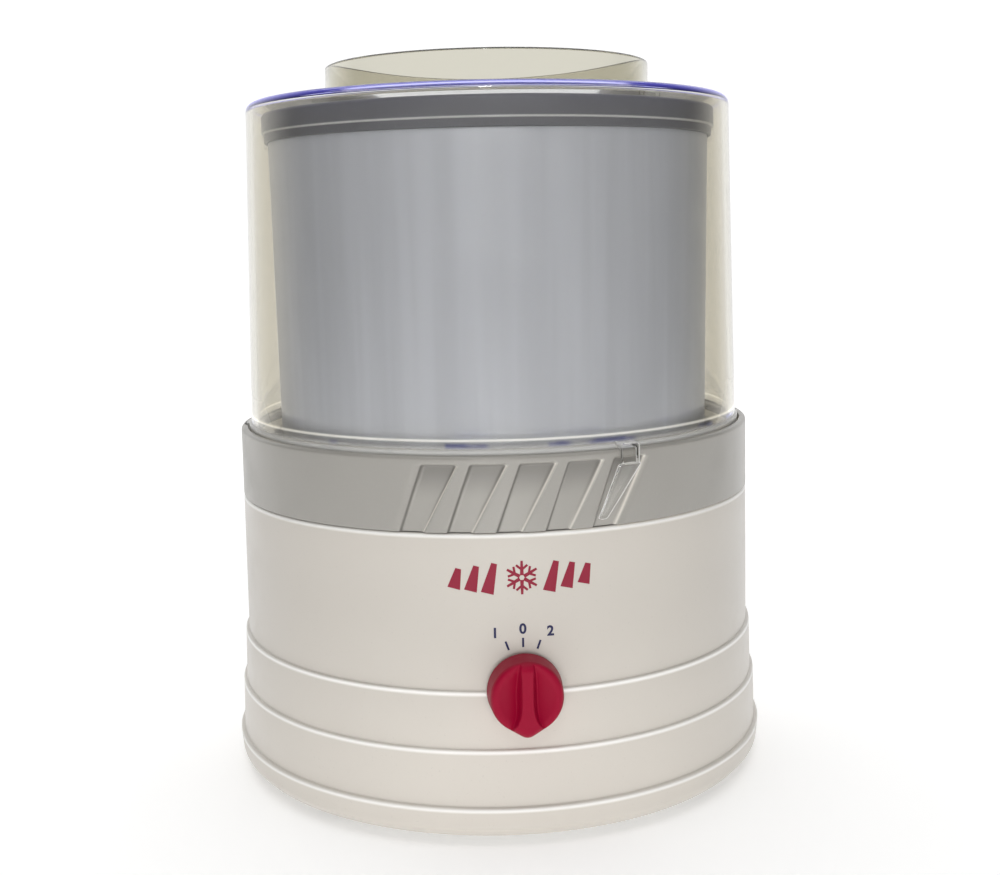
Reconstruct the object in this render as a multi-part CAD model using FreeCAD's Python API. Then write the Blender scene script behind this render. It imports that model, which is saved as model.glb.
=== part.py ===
"""Counter-top ice cream maker, in millimetres.

A motor base of white plastic carries a grey ring, and a double-walled freezer bowl stands in the
deck inside that ring. A motor turns the bowl through three spur gear stages. A clear domed lid drops
over the bowl and holds the mixing paddle still. The front is -Y, +Z is up, and the origin is on the
bowl's axis at the level of the feet's soles.
"""

import FreeCAD, Part
import math
import os
from FreeCAD import Vector

os.makedirs("parts", exist_ok=True)

# ---- freezer bowl
bowl_foot_r = 83.2          # outside of the outer shell at its foot
bowl_flare = 1.0            # how much wider the shell is at its top
bowl_h = 150.5              # foot to top of rim
shell_wall = 2.0
shell_foot_round = 5.0
rim_over = 2.2              # rim stands out past the shell
rim_h = 10.5
rim_step = 0.8              # the rim's lower skirt is this much smaller
rim_skirt_h = 3.0
rim_skirt_gap = 0.25        # between the shell and the skirt
rim_plate_h = 8.5           # solid depth of the rim above the shell's top edge
jacket = 15.2               # shell outside to liner outside, at the top
liner_wall = 1.2
liner_draft = 2.0           # the liner is this much narrower at its floor
liner_corner = 10.0
liner_floor_lift = 16.5     # bowl foot to inside of liner floor
liner_flange = 12.0
pip_r = 6.0                 # stub in the middle of the liner floor that centres the paddle
pip_h = 8.0

# ---- lid
lid_side_gap = 3.2          # rim to inside of lid
lid_top_gap = 1.9           # rim to underside of lid top
lid_wall = 2.4
lid_taper = 3.2             # the lid is this much wider at its foot
lid_plate = 2.4
lid_shoulder = 3.0
lid_bead = 0.9
lid_bead_h = 4.0
neck_inset = 6.0            # bowl opening to the outside of the collar
neck_h = 13.5
neck_wall = 2.0
key_rib_len = 6.0           # ribs under the lid that hold the paddle's lugs
key_rib_h = 8.5
key_rib_t = 3.0
key_rib_lap = 0.6           # how far a rib laps under the collar
lid_bead_edge = 0.9
lid_deck_gap = 0.4          # lid foot above the deck

# ---- base
foot_h = 3.0
ring_top_z = 134.0
ring_h = 26.0               # grey ring, from the seam to its top
seam_gap = 0.3
lip_t = 2.6                 # ring wall outside the lid's bead
lip_gap = 0.5
ring_wall = 3.4
ring_draft = 0.2
ring_round = 2.2
spigot_h = 5.0
spigot_t = 2.0
spigot_gap = 0.3
shelf_t = 2.5
shelf_w = 7.0
deck_t = 2.5                # tray wall
deck_drop = 3.0             # tray top below the ring's top
bowl_gap = 2.8              # bowl to the recess wall
recess_depth = 34.0
floor_gap = 3.5             # bowl foot above the recess floor
housing_wall = 3.0
housing_top_round = 1.7
housing_sole_round = 0.8
ledge_1_z = 54.0
ledge_2_z = 34.0
plinth_z = 14.0
ledge_step = 1.25
plinth_step = 1.6
tier_draft = 0.5
bead_round = 1.15
plinth_round = 1.5
plinth_tuck = 3.6           # how far the plinth curves in at its bottom
plate_t = 2.5
plate_gap = 0.4

# ---- slanted grooves in the ring's front
groove_count = 5
groove_pitch_deg = 9.55
groove_top_deg = 6.8
groove_foot_deg = 4.75
groove_top_mid_deg = 3.6    # middle groove's centre at its top
groove_foot_mid_deg = -2.2
groove_top_drop = 3.0
groove_top_depth = 1.8
groove_foot_depth = 1.3

# ---- lid's lock tab, over the last groove
tab_top_deg = 22.2
tab_foot_deg = 15.9
tab_top_w = 9.0
tab_foot_w = 3.0
tab_top_drop = 4.5
tab_drop = 23.0
tab_t = 2.0
tab_gap = 0.35
tab_bridge_t = 1.8
tab_strap_w = 6.0

# ---- lid keys and the ring's notches
key_angles = (90.0, 180.0, 270.0)
key_deg = 5.0
key_out = 1.3
key_gap = 0.3

# ---- feet and bottom screws
foot_r = 7.5
foot_seat = 1.2             # foot's depth in the bottom plate
foot_inset = 14.0           # foot centre in from the plinth's bottom edge
foot_angles = {"front_right": 45.0, "back_right": 135.0, "back_left": 225.0, "front_left": 315.0}
plate_screw_angles = (20.0, 110.0, 200.0, 290.0)
plate_screw_inset = 9.5
boss_r = 4.2
boss_h = 12.0
web_t = 2.4                 # web that ties a boss to the wall
web_lap = 1.5
screw_r = 1.6
screw_head_r = 3.2
screw_head_h = 1.8
screw_slot = (3.4, 0.6, 0.9)  # length, width and depth of the cross recess
screw_play = 0.2            # round a screw in a through hole
vent_count = 9
vent_w = 3.0
vent_len = 34.0
vent_pitch = 8.0

# ---- selector switch and knob
knob_z = 54.9
knob_r = 12.8               # at the wall
knob_tip = 15.0
knob_taper = 1.8            # how much smaller the knob's front is
knob_tip_round = 1.6
knob_depth = 10.0
knob_gap = 0.9
knob_edge = 1.0
grip_w = 3.0
scoop_r = 12.0
scoop_depth = 5.4
scoop_rim = 1.3             # left standing round the scoops
switch_w = 24.0
switch_h = 20.0
switch_depth = 16.0
switch_bush_r = 4.3
switch_bush_gap = 0.2
switch_shaft_r = 3.0
shaft_fit = 0.05
shaft_flat = 0.6
terminal_w = 4.8
terminal_len = 7.0
terminal_t = 0.8
terminal_x = 6.0
switch_round = 1.5
switch_wall_lap = 1.6       # switch face set back into the housing wall
shaft_short = 4.0           # shaft end behind the knob face

# ---- cord gland in the back wall, bored for a mains lead
gland_z = 25.0
gland_bore_r = 3.6
gland_r = 5.8
gland_flange_r = 8.5
gland_flange_t = 2.2
gland_in = 4.0
gland_edge = 0.8

# ---- gear train
gear_module_share = 1 / 96.4  # tooth module over the inside radius of the housing
pressure_deg = 25.0
addendum = 0.9
dedendum = 1.2
backlash = 0.16
mesh_slack = 0.08           # added to each centre distance
pinion_teeth = 12
wheel_teeth = 48
output_teeth = 60
gear_w = 7.5
level_gap = 1.6             # between one gear level and the next
second_deg = 180.0          # direction from the spindle to the second gear
first_deg = 250.0           # from the second gear to the first gear
motor_deg = 330.0           # from the first gear to the motor
axle_r = 2.5
axle_gap = 0.05
hub_r = 5.5
lightening_holes = 6
case_wall = 2.5
case_clear = 2.4
case_lid_t = 4.0
case_floor_t = 3.5
lug_h = 12.0                # depth of the screw lugs under the case lid
lug_wall = 1.2
axle_sink = 1.5             # left of the case lid over each axle
first_screw_deg = 265.0
case_screw_angles = (30.0, 90.0, 330.0)
wheel_web_cut = 2.2         # how much thinner a wheel is inside its rim
wheel_rim = 2.4
hub_lap = 1.5

# ---- spindle
spindle_r = 5.0
bush_wall = 2.2
turntable_r = 27.0
turntable_t = 2.3
turntable_gap = 1.0
dog_flats = 15.0
dog_h = 9.0
dog_gap = 0.35
socket_r = 13.0
socket_roof_gap = 0.3
socket_over = 1.0           # socket deeper than the dog
turntable_chamfer = 1.0
spindle_foot = 1.4          # spindle foot above the case bottom
bowl_seat_gap = 0.3

# ---- motor
stator_w = 58.0
stator_d = 46.0
stator_leg = 11.0
rotor_r = 12.6
rotor_gap = 0.5
rotor_over = 1.0            # rotor past the stator at each end
coil_wall = 6.5
coil_gap = 0.4
motor_shaft_r = 2.4
motor_shaft_gap = 0.05
bracket_t = 1.6
bracket_w = 20.0
bracket_rise = 5.0
bracket_boss_r = 5.0
bracket_boss_h = 4.0
motor_screw_x = 24.0
motor_post_r = 4.4          # posts under the gear case that the motor hangs from
motor_post_screw = 8.0
fan_r = 19.0
fan_hub_r = 5.0
fan_blades = 7
fan_blade_t = 1.3
fan_h = 7.0
stator_back = 16.0          # stator frame behind its square part
stator_bridge = 6.5         # steel between the rotor and the window
stator_round = 2.0
coil_w = 30.0
coil_round = 3.0
bobbin_t = 1.6
bobbin_over = 0.6           # flange past the winding
bracket_leg_x = 17.0        # bent legs of the brackets, from the shaft
bracket_reach = 5.0         # foot past its screw
fan_slant_deg = 40.0
shaft_below_fan = 1.0
motor_floor_gap = 4.4       # bottom plate to the fan
motor_drop = 3.2            # gear case floor to the upper bracket's boss

# ---- paddle
paddle_t = 5.0
paddle_wall_gap = 1.4
paddle_floor_gap = 0.6
paddle_blade_w = 10.5
paddle_foot_h = 9.0
paddle_ring_gap = 2.3       # collar to the paddle ring
paddle_ring_w = 5.5
paddle_ring_t = 4.0
paddle_lug_w = 5.0
paddle_lug_gap = 0.5
paddle_lug_end = 0.8        # lug end short of the rib end
paddle_ring_drop = 2.0      # rib foot to paddle ring
paddle_post_w = 7.0
paddle_shoulder = 3.5
paddle_window_round = 4.0
paddle_hub_wall = 3.0
pip_gap = 0.3
paddle_hub_h = 26.0
crossbar_z = 60.0           # above the liner's floor
crossbar_h = 7.0

past = 1.0                  # how far a cutter runs past the face it opens
lap = 0.1                   # how far two pieces of one solid run into each other

# ---- sizes that follow from the ones above
bowl_top_r = bowl_foot_r + bowl_flare
rim_r = bowl_top_r + rim_over
lid_top_r = rim_r + lid_side_gap + lid_wall
lid_foot_r = lid_top_r + lid_taper
bead_r = lid_foot_r + lid_bead
lip_in_r = bead_r + lip_gap
ring_r = lip_in_r + lip_t
ring_foot_r = ring_r + ring_draft
ring_in_r = ring_r - ring_wall
seam_z = ring_top_z - ring_h
housing_top_z = seam_z
deck_z = ring_top_z - deck_drop
floor_z = deck_z - recess_depth
floor_under_z = floor_z - deck_t
recess_r = bowl_top_r + bowl_gap
foot_z = floor_z + floor_gap
rim_top_z = foot_z + bowl_h
rim_foot_z = rim_top_z - rim_h
shell_top_z = rim_top_z - rim_plate_h
liner_top_r = bowl_top_r - jacket - liner_wall
liner_floor_r = liner_top_r - liner_draft
neck_r = liner_top_r - neck_inset
paddle_ring_out = neck_r - neck_wall - paddle_ring_gap
paddle_ring_in = paddle_ring_out - paddle_ring_w
liner_floor_z = foot_z + liner_floor_lift
lid_under_z = rim_top_z + lid_top_gap
lid_top_z = lid_under_z + lid_plate
lid_foot_z = deck_z + lid_deck_gap
tier_1_foot_r = ring_foot_r + tier_draft
tier_2_top_r = tier_1_foot_r + ledge_step
tier_2_foot_r = tier_2_top_r + tier_draft
tier_3_top_r = tier_2_foot_r + ledge_step
tier_3_foot_r = tier_3_top_r + tier_draft
plinth_r = tier_3_foot_r + plinth_step
sole_r = plinth_r - plinth_tuck
inner_top_r = ring_foot_r - housing_wall
plate_r = tier_3_foot_r - housing_wall - plate_gap
plate_z = foot_h + plate_gap
gear_module = inner_top_r * gear_module_share

case_lid_z = floor_under_z - case_lid_t
output_z = case_lid_z - level_gap - gear_w
middle_z = output_z - level_gap - gear_w
first_z = middle_z - level_gap - gear_w
case_floor_z = first_z - level_gap - case_floor_t
upper_bracket_z = case_floor_z - motor_drop - bracket_boss_h
fan_z = plate_z + plate_t + motor_floor_gap
lower_bracket_z = fan_z + fan_h + bracket_boss_h
stator_z = lower_bracket_z + bracket_t + bracket_rise
stator_h = upper_bracket_z - bracket_rise - stator_z
rotor_h = stator_h + 2 * rotor_over

output_pitch_r = gear_module * output_teeth / 2
wheel_pitch_r = gear_module * wheel_teeth / 2
pinion_pitch_r = gear_module * pinion_teeth / 2
case_post_r = pinion_pitch_r - gear_module
output_distance = output_pitch_r + pinion_pitch_r + mesh_slack
wheel_distance = wheel_pitch_r + pinion_pitch_r + mesh_slack


def front(r, deg, z=0.0):
    """A point at radius r, deg round from the front towards +X."""
    a = math.radians(deg)
    return Vector(r * math.sin(a), -r * math.cos(a), z)


def step(point, distance, deg):
    a = math.radians(deg)
    return point + Vector(distance * math.cos(a), distance * math.sin(a), 0)


spindle_at = Vector(0, 0, 0)
second_at = step(spindle_at, output_distance, second_deg)
first_at = step(second_at, wheel_distance, first_deg)
motor_at = step(first_at, wheel_distance, motor_deg)


def rounded_edges(points, closed=True):
    """Straight runs joined by tangent arcs. Each point is (vector, arc radius)."""
    count = len(points)
    starts, ends, arcs = [], [], []
    for i, (p, r) in enumerate(points):
        open_end = not closed and i in (0, count - 1)
        if r <= 0 or open_end:
            starts.append(p)
            ends.append(p)
            continue
        back = (points[i - 1][0] - p).normalize()
        on = (points[(i + 1) % count][0] - p).normalize()
        half = back.getAngle(on) / 2
        reach = r / math.tan(half)
        bisector = (back + on).normalize()
        centre = p + bisector * (r / math.sin(half))
        starts.append(p + back * reach)
        ends.append(p + on * reach)
        arcs.append(Part.Arc(starts[-1], centre - bisector * r, ends[-1]).toShape())
    edges = list(arcs)
    for i in range(count if closed else count - 1):
        a, b = ends[i], starts[(i + 1) % count]
        if a.distanceToPoint(b) > 1e-6:
            edges.append(Part.LineSegment(a, b).toShape())
    return Part.__sortEdges__(edges)


def section(points):
    """A face in the XZ plane from (r, z) or (r, z, corner radius) points."""
    full = [(Vector(p[0], 0, p[1]), p[2] if len(p) > 2 else 0) for p in points]
    return Part.Face(Part.Wire(rounded_edges(full)))


def turned(points):
    """A solid of revolution about Z."""
    return section(points).revolve(Vector(0, 0, 0), Vector(0, 0, 1), 360)


def turned_arc(points, start_deg, sweep_deg):
    """Part of a solid of revolution, from start_deg round from the front."""
    face = section(points)
    face.rotate(Vector(0, 0, 0), Vector(0, 0, 1), start_deg - 90)
    return face.revolve(Vector(0, 0, 0), Vector(0, 0, 1), sweep_deg)


def rod(r, z0, z1, at=Vector(0, 0, 0)):
    return Part.makeCylinder(r, z1 - z0, Vector(at.x, at.y, z0))


def block(x0, x1, y0, y1, z0, z1):
    return Part.makeBox(x1 - x0, y1 - y0, z1 - z0, Vector(x0, y0, z0))


def fused(shapes):
    return shapes[0].fuse(shapes[1:]).removeSplitter() if len(shapes) > 1 else shapes[0]


def prism(points, z0, z1):
    wire = Part.makePolygon([Vector(p.x, p.y, z0) for p in points + points[:1]])
    return Part.Face(wire).extrude(Vector(0, 0, z1 - z0))


def save(name, shape):
    shape.exportStep("parts/" + name + ".step")


# ---- freezer bowl


def bowl_shell():
    """Outer shell: a tub with a hole in its floor for the drive socket."""
    inner = bowl_top_r - shell_wall
    body = turned([
        (socket_r, foot_z),
        (bowl_foot_r, foot_z, shell_foot_round),
        (bowl_top_r, shell_top_z),
        (inner, shell_top_z),
        (bowl_foot_r - shell_wall, foot_z + shell_wall, shell_foot_round - shell_wall),
        (socket_r, foot_z + shell_wall),
    ])
    return body


def liner_r(z):
    """Inside radius of the liner at height z, above its corner."""
    share = (z - liner_floor_z) / (shell_top_z - liner_floor_z)
    return liner_floor_r + liner_draft * share


def bowl_liner():
    """Inner vessel, with a flange under the rim and a stub at the middle of its floor."""
    under = liner_floor_z - liner_wall
    return turned([
        (0, under),
        (liner_floor_r + liner_wall, under, liner_corner + liner_wall),
        (liner_top_r + liner_wall, shell_top_z - liner_wall - 0.2),
        (liner_top_r + liner_flange, shell_top_z - liner_wall - 0.2),
        (liner_top_r + liner_flange, shell_top_z - 0.2),
        (liner_top_r, shell_top_z - 0.2),
        (liner_floor_r, liner_floor_z, liner_corner),
        (pip_r, liner_floor_z),
        (pip_r, liner_floor_z + pip_h, 2.0),
        (0, liner_floor_z + pip_h),
    ])


def bowl_rim():
    """Ring that closes the jacket's top, with a skirt over the shell."""
    skirt_in = bowl_top_r + rim_skirt_gap
    skirt_out = rim_r - rim_step
    step_z = rim_foot_z + rim_skirt_h
    return turned([
        (liner_top_r, shell_top_z),
        (skirt_in, shell_top_z),
        (skirt_in, rim_foot_z),
        (skirt_out, rim_foot_z, 0.4),
        (skirt_out, step_z),
        (rim_r, step_z + 0.5, 0.3),
        (rim_r, rim_top_z, 1.4),
        (liner_top_r, rim_top_z, 1.6),
    ])


def bowl_coolant():
    """The gel between shell and liner, clear of both."""
    clear = 0.3
    fill_z = rim_foot_z - 6.0
    out_r = bowl_foot_r - shell_wall - clear
    low_z = foot_z + shell_wall + clear
    mid_z = liner_floor_z - liner_wall - clear
    in_r = liner_floor_r + liner_wall + clear
    return turned([
        (socket_r + clear, low_z),
        (out_r, low_z, shell_foot_round - shell_wall),
        (out_r + bowl_flare * 0.9, fill_z),
        (in_r + liner_draft, fill_z),
        (in_r, mid_z, liner_corner + liner_wall),
        (socket_r + clear, mid_z),
    ])


def hexagon(flats, z0, z1):
    corner_r = flats / 2 / math.cos(math.pi / 6)
    turns = [k * math.pi / 3 for k in range(6)]
    return prism([Vector(corner_r * math.cos(a), corner_r * math.sin(a), 0) for a in turns], z0, z1)


def bowl_drive_socket():
    """Hub in the bowl's floor with a six-sided socket for the spindle's dog."""
    roof_z = liner_floor_z - liner_wall - socket_roof_gap
    hub = rod(socket_r, foot_z, roof_z)
    return hub.cut(hexagon(dog_flats + 2 * dog_gap, foot_z - past, foot_z + dog_h + socket_over))


# ---- lid


def lid_profile():
    neck_in = neck_r - neck_wall
    return [
        (lid_foot_r - lid_wall, lid_foot_z, 0.6),
        (bead_r, lid_foot_z, lid_bead_edge),
        (bead_r, lid_foot_z + lid_bead_h, lid_bead_edge),
        (lid_foot_r, lid_foot_z + lid_bead_h + 0.3, 0.3),
        (lid_top_r, lid_top_z, lid_shoulder),
        (neck_r, lid_top_z, 1.2),
        (neck_r, lid_top_z + neck_h, 0.8),
        (neck_in, lid_top_z + neck_h, 0.8),
        (neck_in, lid_under_z, 0.6),
        (lid_top_r - lid_wall, lid_under_z, lid_shoulder - lid_wall + 0.6),
    ]


def lock_tab():
    """A strap over the ring's lip and a leaning wedge that hangs in front of the last groove."""
    r0 = ring_foot_r + tab_gap
    r1 = r0 + tab_t
    strap_deg = math.degrees(tab_strap_w / r1)
    strap_z = ring_top_z + tab_gap
    top_z = strap_z + tab_bridge_t
    wedge_z = ring_top_z - tab_top_drop
    strap = turned_arc(
        [(lid_foot_r - 1.0, strap_z), (r0, strap_z), (r0, wedge_z - 1.0), (r1, wedge_z - 1.0),
         (r1, top_z, 1.6), (lid_foot_r - 1.0, top_z)],
        tab_top_deg - strap_deg / 2,
        strap_deg,
    )

    def outline(mid_deg, width, z):
        half = math.degrees(width / 2 / r1)
        chamfer = half * 0.25
        corners = [
            (r0, mid_deg - half), (r1 - 0.5, mid_deg - half), (r1, mid_deg - half + chamfer),
            (r1, mid_deg + half - chamfer), (r1 - 0.5, mid_deg + half), (r0, mid_deg + half),
        ]
        pts = [front(r, d, z) for r, d in corners]
        return Part.makePolygon(pts + pts[:1])

    foot = outline(tab_foot_deg, tab_foot_w, ring_top_z - tab_drop)
    wedge = Part.makeLoft([outline(tab_top_deg, tab_top_w, wedge_z), foot], True, True)
    return strap, wedge


def lid():
    shell = turned(lid_profile())
    extra = list(lock_tab())
    for deg in key_angles:
        extra.append(turned_arc(
            [(bead_r - 1.0, lid_foot_z + 0.2), (bead_r + key_out, lid_foot_z + 0.2),
             (bead_r + key_out, lid_foot_z + 3.0), (bead_r - 1.0, lid_foot_z + 3.0)],
            deg - key_deg / 2, key_deg))
    rib_in = paddle_lug_w / 2 + paddle_lug_gap
    rib_r = neck_r - neck_wall + key_rib_lap
    rib_z = lid_under_z - key_rib_h
    for x0 in (rib_r, -rib_r - key_rib_len):
        for y0 in (rib_in, -rib_in - key_rib_t):
            extra.append(block(x0, x0 + key_rib_len, y0, y0 + key_rib_t, rib_z, lid_under_z + 0.5))
    return fused([shell] + extra)


# ---- base shells


def base_ring():
    """Grey ring: outer wall, lip round the lid, shelf for the deck, and a spigot into the housing."""
    low = seam_z + seam_gap
    spigot_r = inner_top_r - spigot_gap
    shelf_z = deck_z - deck_t
    body = turned([
        (ring_foot_r, low),
        (ring_r, ring_top_z, ring_round),
        (lip_in_r, ring_top_z, 0.4),
        (lip_in_r, shelf_z),
        (lip_in_r - shelf_w, shelf_z),
        (lip_in_r - shelf_w, shelf_z - shelf_t),
        (ring_in_r, shelf_z - shelf_t),
        (ring_in_r, low + 4.0),
        (spigot_r - spigot_t, low + 2.0),
        (spigot_r - spigot_t, low - spigot_h),
        (spigot_r, low - spigot_h),
        (spigot_r, low),
    ])
    cuts = []
    for k in range(groove_count):
        turn = (k - (groove_count - 1) / 2) * groove_pitch_deg
        cuts.append(groove_cutter(turn))
    for deg in key_angles:
        cuts.append(turned_arc(
            [(lip_in_r - 1.0, shelf_z), (bead_r + key_out + key_gap, shelf_z),
             (bead_r + key_out + key_gap, ring_top_z + 1), (lip_in_r - 1.0, ring_top_z + 1)],
            deg - key_deg / 2 - 0.4, key_deg + 0.8))
    return body.cut(cuts)


def groove_cutter(turn_deg):
    """A flat-sided leaning wedge, wider and deeper at its top, that runs out of the ring's foot."""
    middle_deg = (groove_top_mid_deg + groove_foot_mid_deg) / 2
    top_z = ring_top_z - groove_top_drop
    foot_z_out = seam_z - 1.0

    def across(deg):
        return ring_r * math.sin(math.radians(deg - middle_deg))

    def edge(mid_deg, width_deg, depth, z):
        y = -(ring_r - depth)
        return [Vector(across(mid_deg - width_deg / 2), y, z), Vector(across(mid_deg + width_deg / 2), y, z)]

    top = edge(groove_top_mid_deg, groove_top_deg, groove_top_depth, top_z)
    foot = edge(groove_foot_mid_deg, groove_foot_deg, groove_foot_depth, foot_z_out)
    corners = top + foot[::-1]
    cutter = Part.Face(Part.makePolygon(corners + corners[:1])).extrude(Vector(0, -6, 0))
    cutter.rotate(Vector(0, 0, 0), Vector(0, 0, 1), turn_deg + middle_deg)
    return cutter


def deck():
    """White deck inside the ring, with the recess that the bowl stands in."""
    edge_r = lip_in_r - 0.3
    hole_r = spindle_r + bush_wall + 0.05
    body = turned([
        (hole_r, floor_under_z),
        (recess_r + deck_t, floor_under_z, 4.0),
        (recess_r + deck_t, deck_z - deck_t),
        (edge_r, deck_z - deck_t),
        (edge_r, deck_z, 0.4),
        (recess_r, deck_z, 1.2),
        (recess_r, floor_z, 2.0),
        (hole_r, floor_z),
    ])
    for p in case_screw_points():
        body = body.cut(rod(screw_r + screw_play, floor_under_z - past, floor_z + past, p))
    return body


def housing_r(z):
    """Outside radius of the housing's wall at height z."""
    if z > ledge_1_z:
        return ring_foot_r + tier_draft * (seam_z - z) / (seam_z - ledge_1_z)
    if z > ledge_2_z:
        return tier_2_top_r + tier_draft * (ledge_1_z - z) / (ledge_1_z - ledge_2_z)
    return tier_3_top_r + tier_draft * (ledge_2_z - z) / (ledge_2_z - plinth_z)


def base_housing():
    """White outer housing, in three tiers over a tucked-in plinth."""
    w = housing_wall
    body = turned([
        (sole_r, foot_h, housing_sole_round),
        (plinth_r - 0.7, foot_h + 3.2, 4.0),
        (plinth_r, plinth_z, plinth_round),
        (tier_3_foot_r, plinth_z + 0.3, 0.3),
        (tier_3_top_r, ledge_2_z, bead_round),
        (tier_2_foot_r, ledge_2_z + 0.15, 0.25),
        (tier_2_top_r, ledge_1_z, bead_round),
        (tier_1_foot_r, ledge_1_z + 0.15, 0.25),
        (ring_foot_r, housing_top_z, housing_top_round),
        (inner_top_r, housing_top_z),
        (tier_1_foot_r - w, ledge_1_z - w),
        (tier_3_foot_r - w, plinth_z),
        (tier_3_foot_r - w, foot_h),
    ])
    bosses = []
    for deg in plate_screw_angles:
        at = front(plate_r - plate_screw_inset, deg)
        boss_z = plate_z + plate_t
        web = block(0, plate_screw_inset + web_lap, -web_t / 2, web_t / 2, boss_z, boss_z + boss_h)
        web.rotate(Vector(0, 0, 0), Vector(0, 0, 1), deg - 90)
        web.translate(at)
        bosses += [rod(boss_r, boss_z, boss_z + boss_h, at), web]
    body = fused([body] + bosses)
    for deg in plate_screw_angles:
        at = front(plate_r - plate_screw_inset, deg)
        body = body.cut(rod(screw_r, plate_z, plate_z + plate_t + boss_h - 2, at))
    bush = Part.makeCylinder(switch_bush_r + switch_bush_gap, 2 * housing_wall + 6,
                             Vector(0, -tier_2_foot_r - 3, knob_z), Vector(0, 1, 0))
    cord_hole = Part.makeCylinder(gland_r + 0.05, 2 * housing_wall + 6,
                                  Vector(0, tier_3_foot_r + 3, gland_z), Vector(0, -1, 0))
    return body.cut([bush, cord_hole])


def bottom_plate():
    """Cover under the housing, with vent slots, screw holes and seats for the feet."""
    body = rod(plate_r, plate_z, plate_z + plate_t)
    cuts = []
    for k in range(vent_count):
        y = (k - (vent_count - 1) / 2) * vent_pitch
        half = vent_len / 2 - vent_w / 2
        pts = [(Vector(x, y + s, plate_z - 1), vent_w / 2 - 0.01)
               for x, s in ((-half - vent_w / 2, -vent_w / 2), (half + vent_w / 2, -vent_w / 2),
                            (half + vent_w / 2, vent_w / 2), (-half - vent_w / 2, vent_w / 2))]
        cuts.append(Part.Face(Part.Wire(rounded_edges(pts))).extrude(Vector(0, 0, plate_t + 2)))
    for deg in plate_screw_angles:
        at = front(plate_r - plate_screw_inset, deg)
        cuts.append(rod(screw_r + 0.3, plate_z - 1, plate_z + plate_t + 1, at))
    for deg in foot_angles.values():
        at = front(plate_r - foot_inset + plate_gap, deg)
        cuts.append(rod(foot_r + 0.05, plate_z - past, plate_z + foot_seat, at))
    return body.cut(cuts)


def rubber_foot(deg):
    """A turned rubber foot with a dished sole, pressed into its seat."""
    at = front(plate_r - foot_inset + plate_gap, deg)
    foot = turned([
        (0, 0.5), (foot_r - 3.0, 0.5), (foot_r - 2.6, 0), (foot_r - 0.8, 0, 0.5),
        (foot_r, plate_z), (foot_r, plate_z + foot_seat), (0, plate_z + foot_seat),
    ])
    foot.translate(at)
    return foot


def screw(at, head_z, length, up=True):
    """Pan-head screw with a cross recess. Its shank runs up from the head, or down."""
    body = turned([
        (0, -screw_head_h), (screw_head_r, -screw_head_h, 0.7), (screw_head_r, 0),
        (screw_r, 0), (screw_r, length), (0, length),
    ])
    half_len, half_w, deep = screw_slot[0] / 2, screw_slot[1] / 2, screw_slot[2]
    low = -screw_head_h - lap
    slots = [block(-half_len, half_len, -half_w, half_w, low, -screw_head_h + deep),
             block(-half_w, half_w, -half_len, half_len, low, -screw_head_h + deep)]
    body = body.cut(slots)
    if not up:
        body.rotate(Vector(0, 0, 0), Vector(1, 0, 0), 180)
    body.translate(Vector(at.x, at.y, head_z))
    return body


def plate_screws():
    return Part.makeCompound([screw(front(plate_r - plate_screw_inset, deg), plate_z, plate_t + boss_h - 4)
                              for deg in plate_screw_angles])


# ---- gear train


def involute_angle(r, base_r):
    a = math.acos(min(1.0, base_r / r))
    return math.tan(a) - a


def gear_blank(teeth, z0, width, tooth_deg):
    """A spur gear without its bore. One tooth is centred at tooth_deg, measured from +X."""
    pitch_r = gear_module * teeth / 2
    base_r = pitch_r * math.cos(math.radians(pressure_deg))
    tip_r = pitch_r + addendum * gear_module
    root_r = pitch_r - dedendum * gear_module
    half_pitch = math.pi / 2 / teeth - backlash / 2 / pitch_r
    at_pitch = involute_angle(pitch_r, base_r)

    def half_angle(r):
        return half_pitch + at_pitch - involute_angle(max(r, base_r), base_r)

    flank = [root_r, max(base_r, root_r + 0.05), pitch_r, tip_r]
    pts = []
    for k in range(teeth):
        mid = math.radians(tooth_deg) + 2 * math.pi * k / teeth
        rising = [(r, mid - half_angle(r)) for r in flank]
        falling = [(r, mid + half_angle(r)) for r in reversed(flank)]
        pts += [Vector(r * math.cos(a), r * math.sin(a), 0) for r, a in rising + falling]
    return prism(pts, z0, z0 + width)


def wheel(teeth, z0, width, at, tooth_deg):
    """A gear with a web thinner than its rim, and round lightening holes."""
    body = gear_blank(teeth, z0, width, tooth_deg)
    rim_r = gear_module * teeth / 2 - dedendum * gear_module - wheel_rim
    hub = hub_r + hub_lap
    top = z0 + width
    recess = rod(rim_r, top - wheel_web_cut, top + past).cut(rod(hub, z0, top + 2 * past))
    body = body.cut(recess)
    hole_at = (rim_r + hub) / 2
    hole_r = (rim_r - hub) * 0.3
    for k in range(lightening_holes):
        centre = step(Vector(0, 0, 0), hole_at, 360.0 * k / lightening_holes)
        body = body.cut(rod(hole_r, z0 - past, top + past, centre))
    body.translate(Vector(at.x, at.y, 0))
    return body


def gap_deg(teeth, toward_deg):
    """Tooth angle that puts a gap, not a tooth, at toward_deg."""
    return toward_deg + 180.0 / teeth


def output_gear():
    body = wheel(output_teeth, output_z, gear_w, spindle_at, gap_deg(output_teeth, second_deg))
    return body.cut(rod(spindle_r, output_z - 1, output_z + gear_w + 1))


def compound_gear(at, wheel_z, toward_pinion_deg, toward_wheel_deg):
    """A wheel with the next stage's pinion moulded on top of it."""
    body = wheel(wheel_teeth, wheel_z, gear_w, at, gap_deg(wheel_teeth, toward_pinion_deg))
    small_z = wheel_z + gear_w - wheel_web_cut
    small = gear_blank(pinion_teeth, small_z, gear_w + level_gap + wheel_web_cut, toward_wheel_deg)
    small.translate(Vector(at.x, at.y, 0))
    body = body.fuse(small)
    return body.cut(rod(axle_r + axle_gap, wheel_z - 1, wheel_z + 2 * gear_w + level_gap + 1, at))


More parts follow.
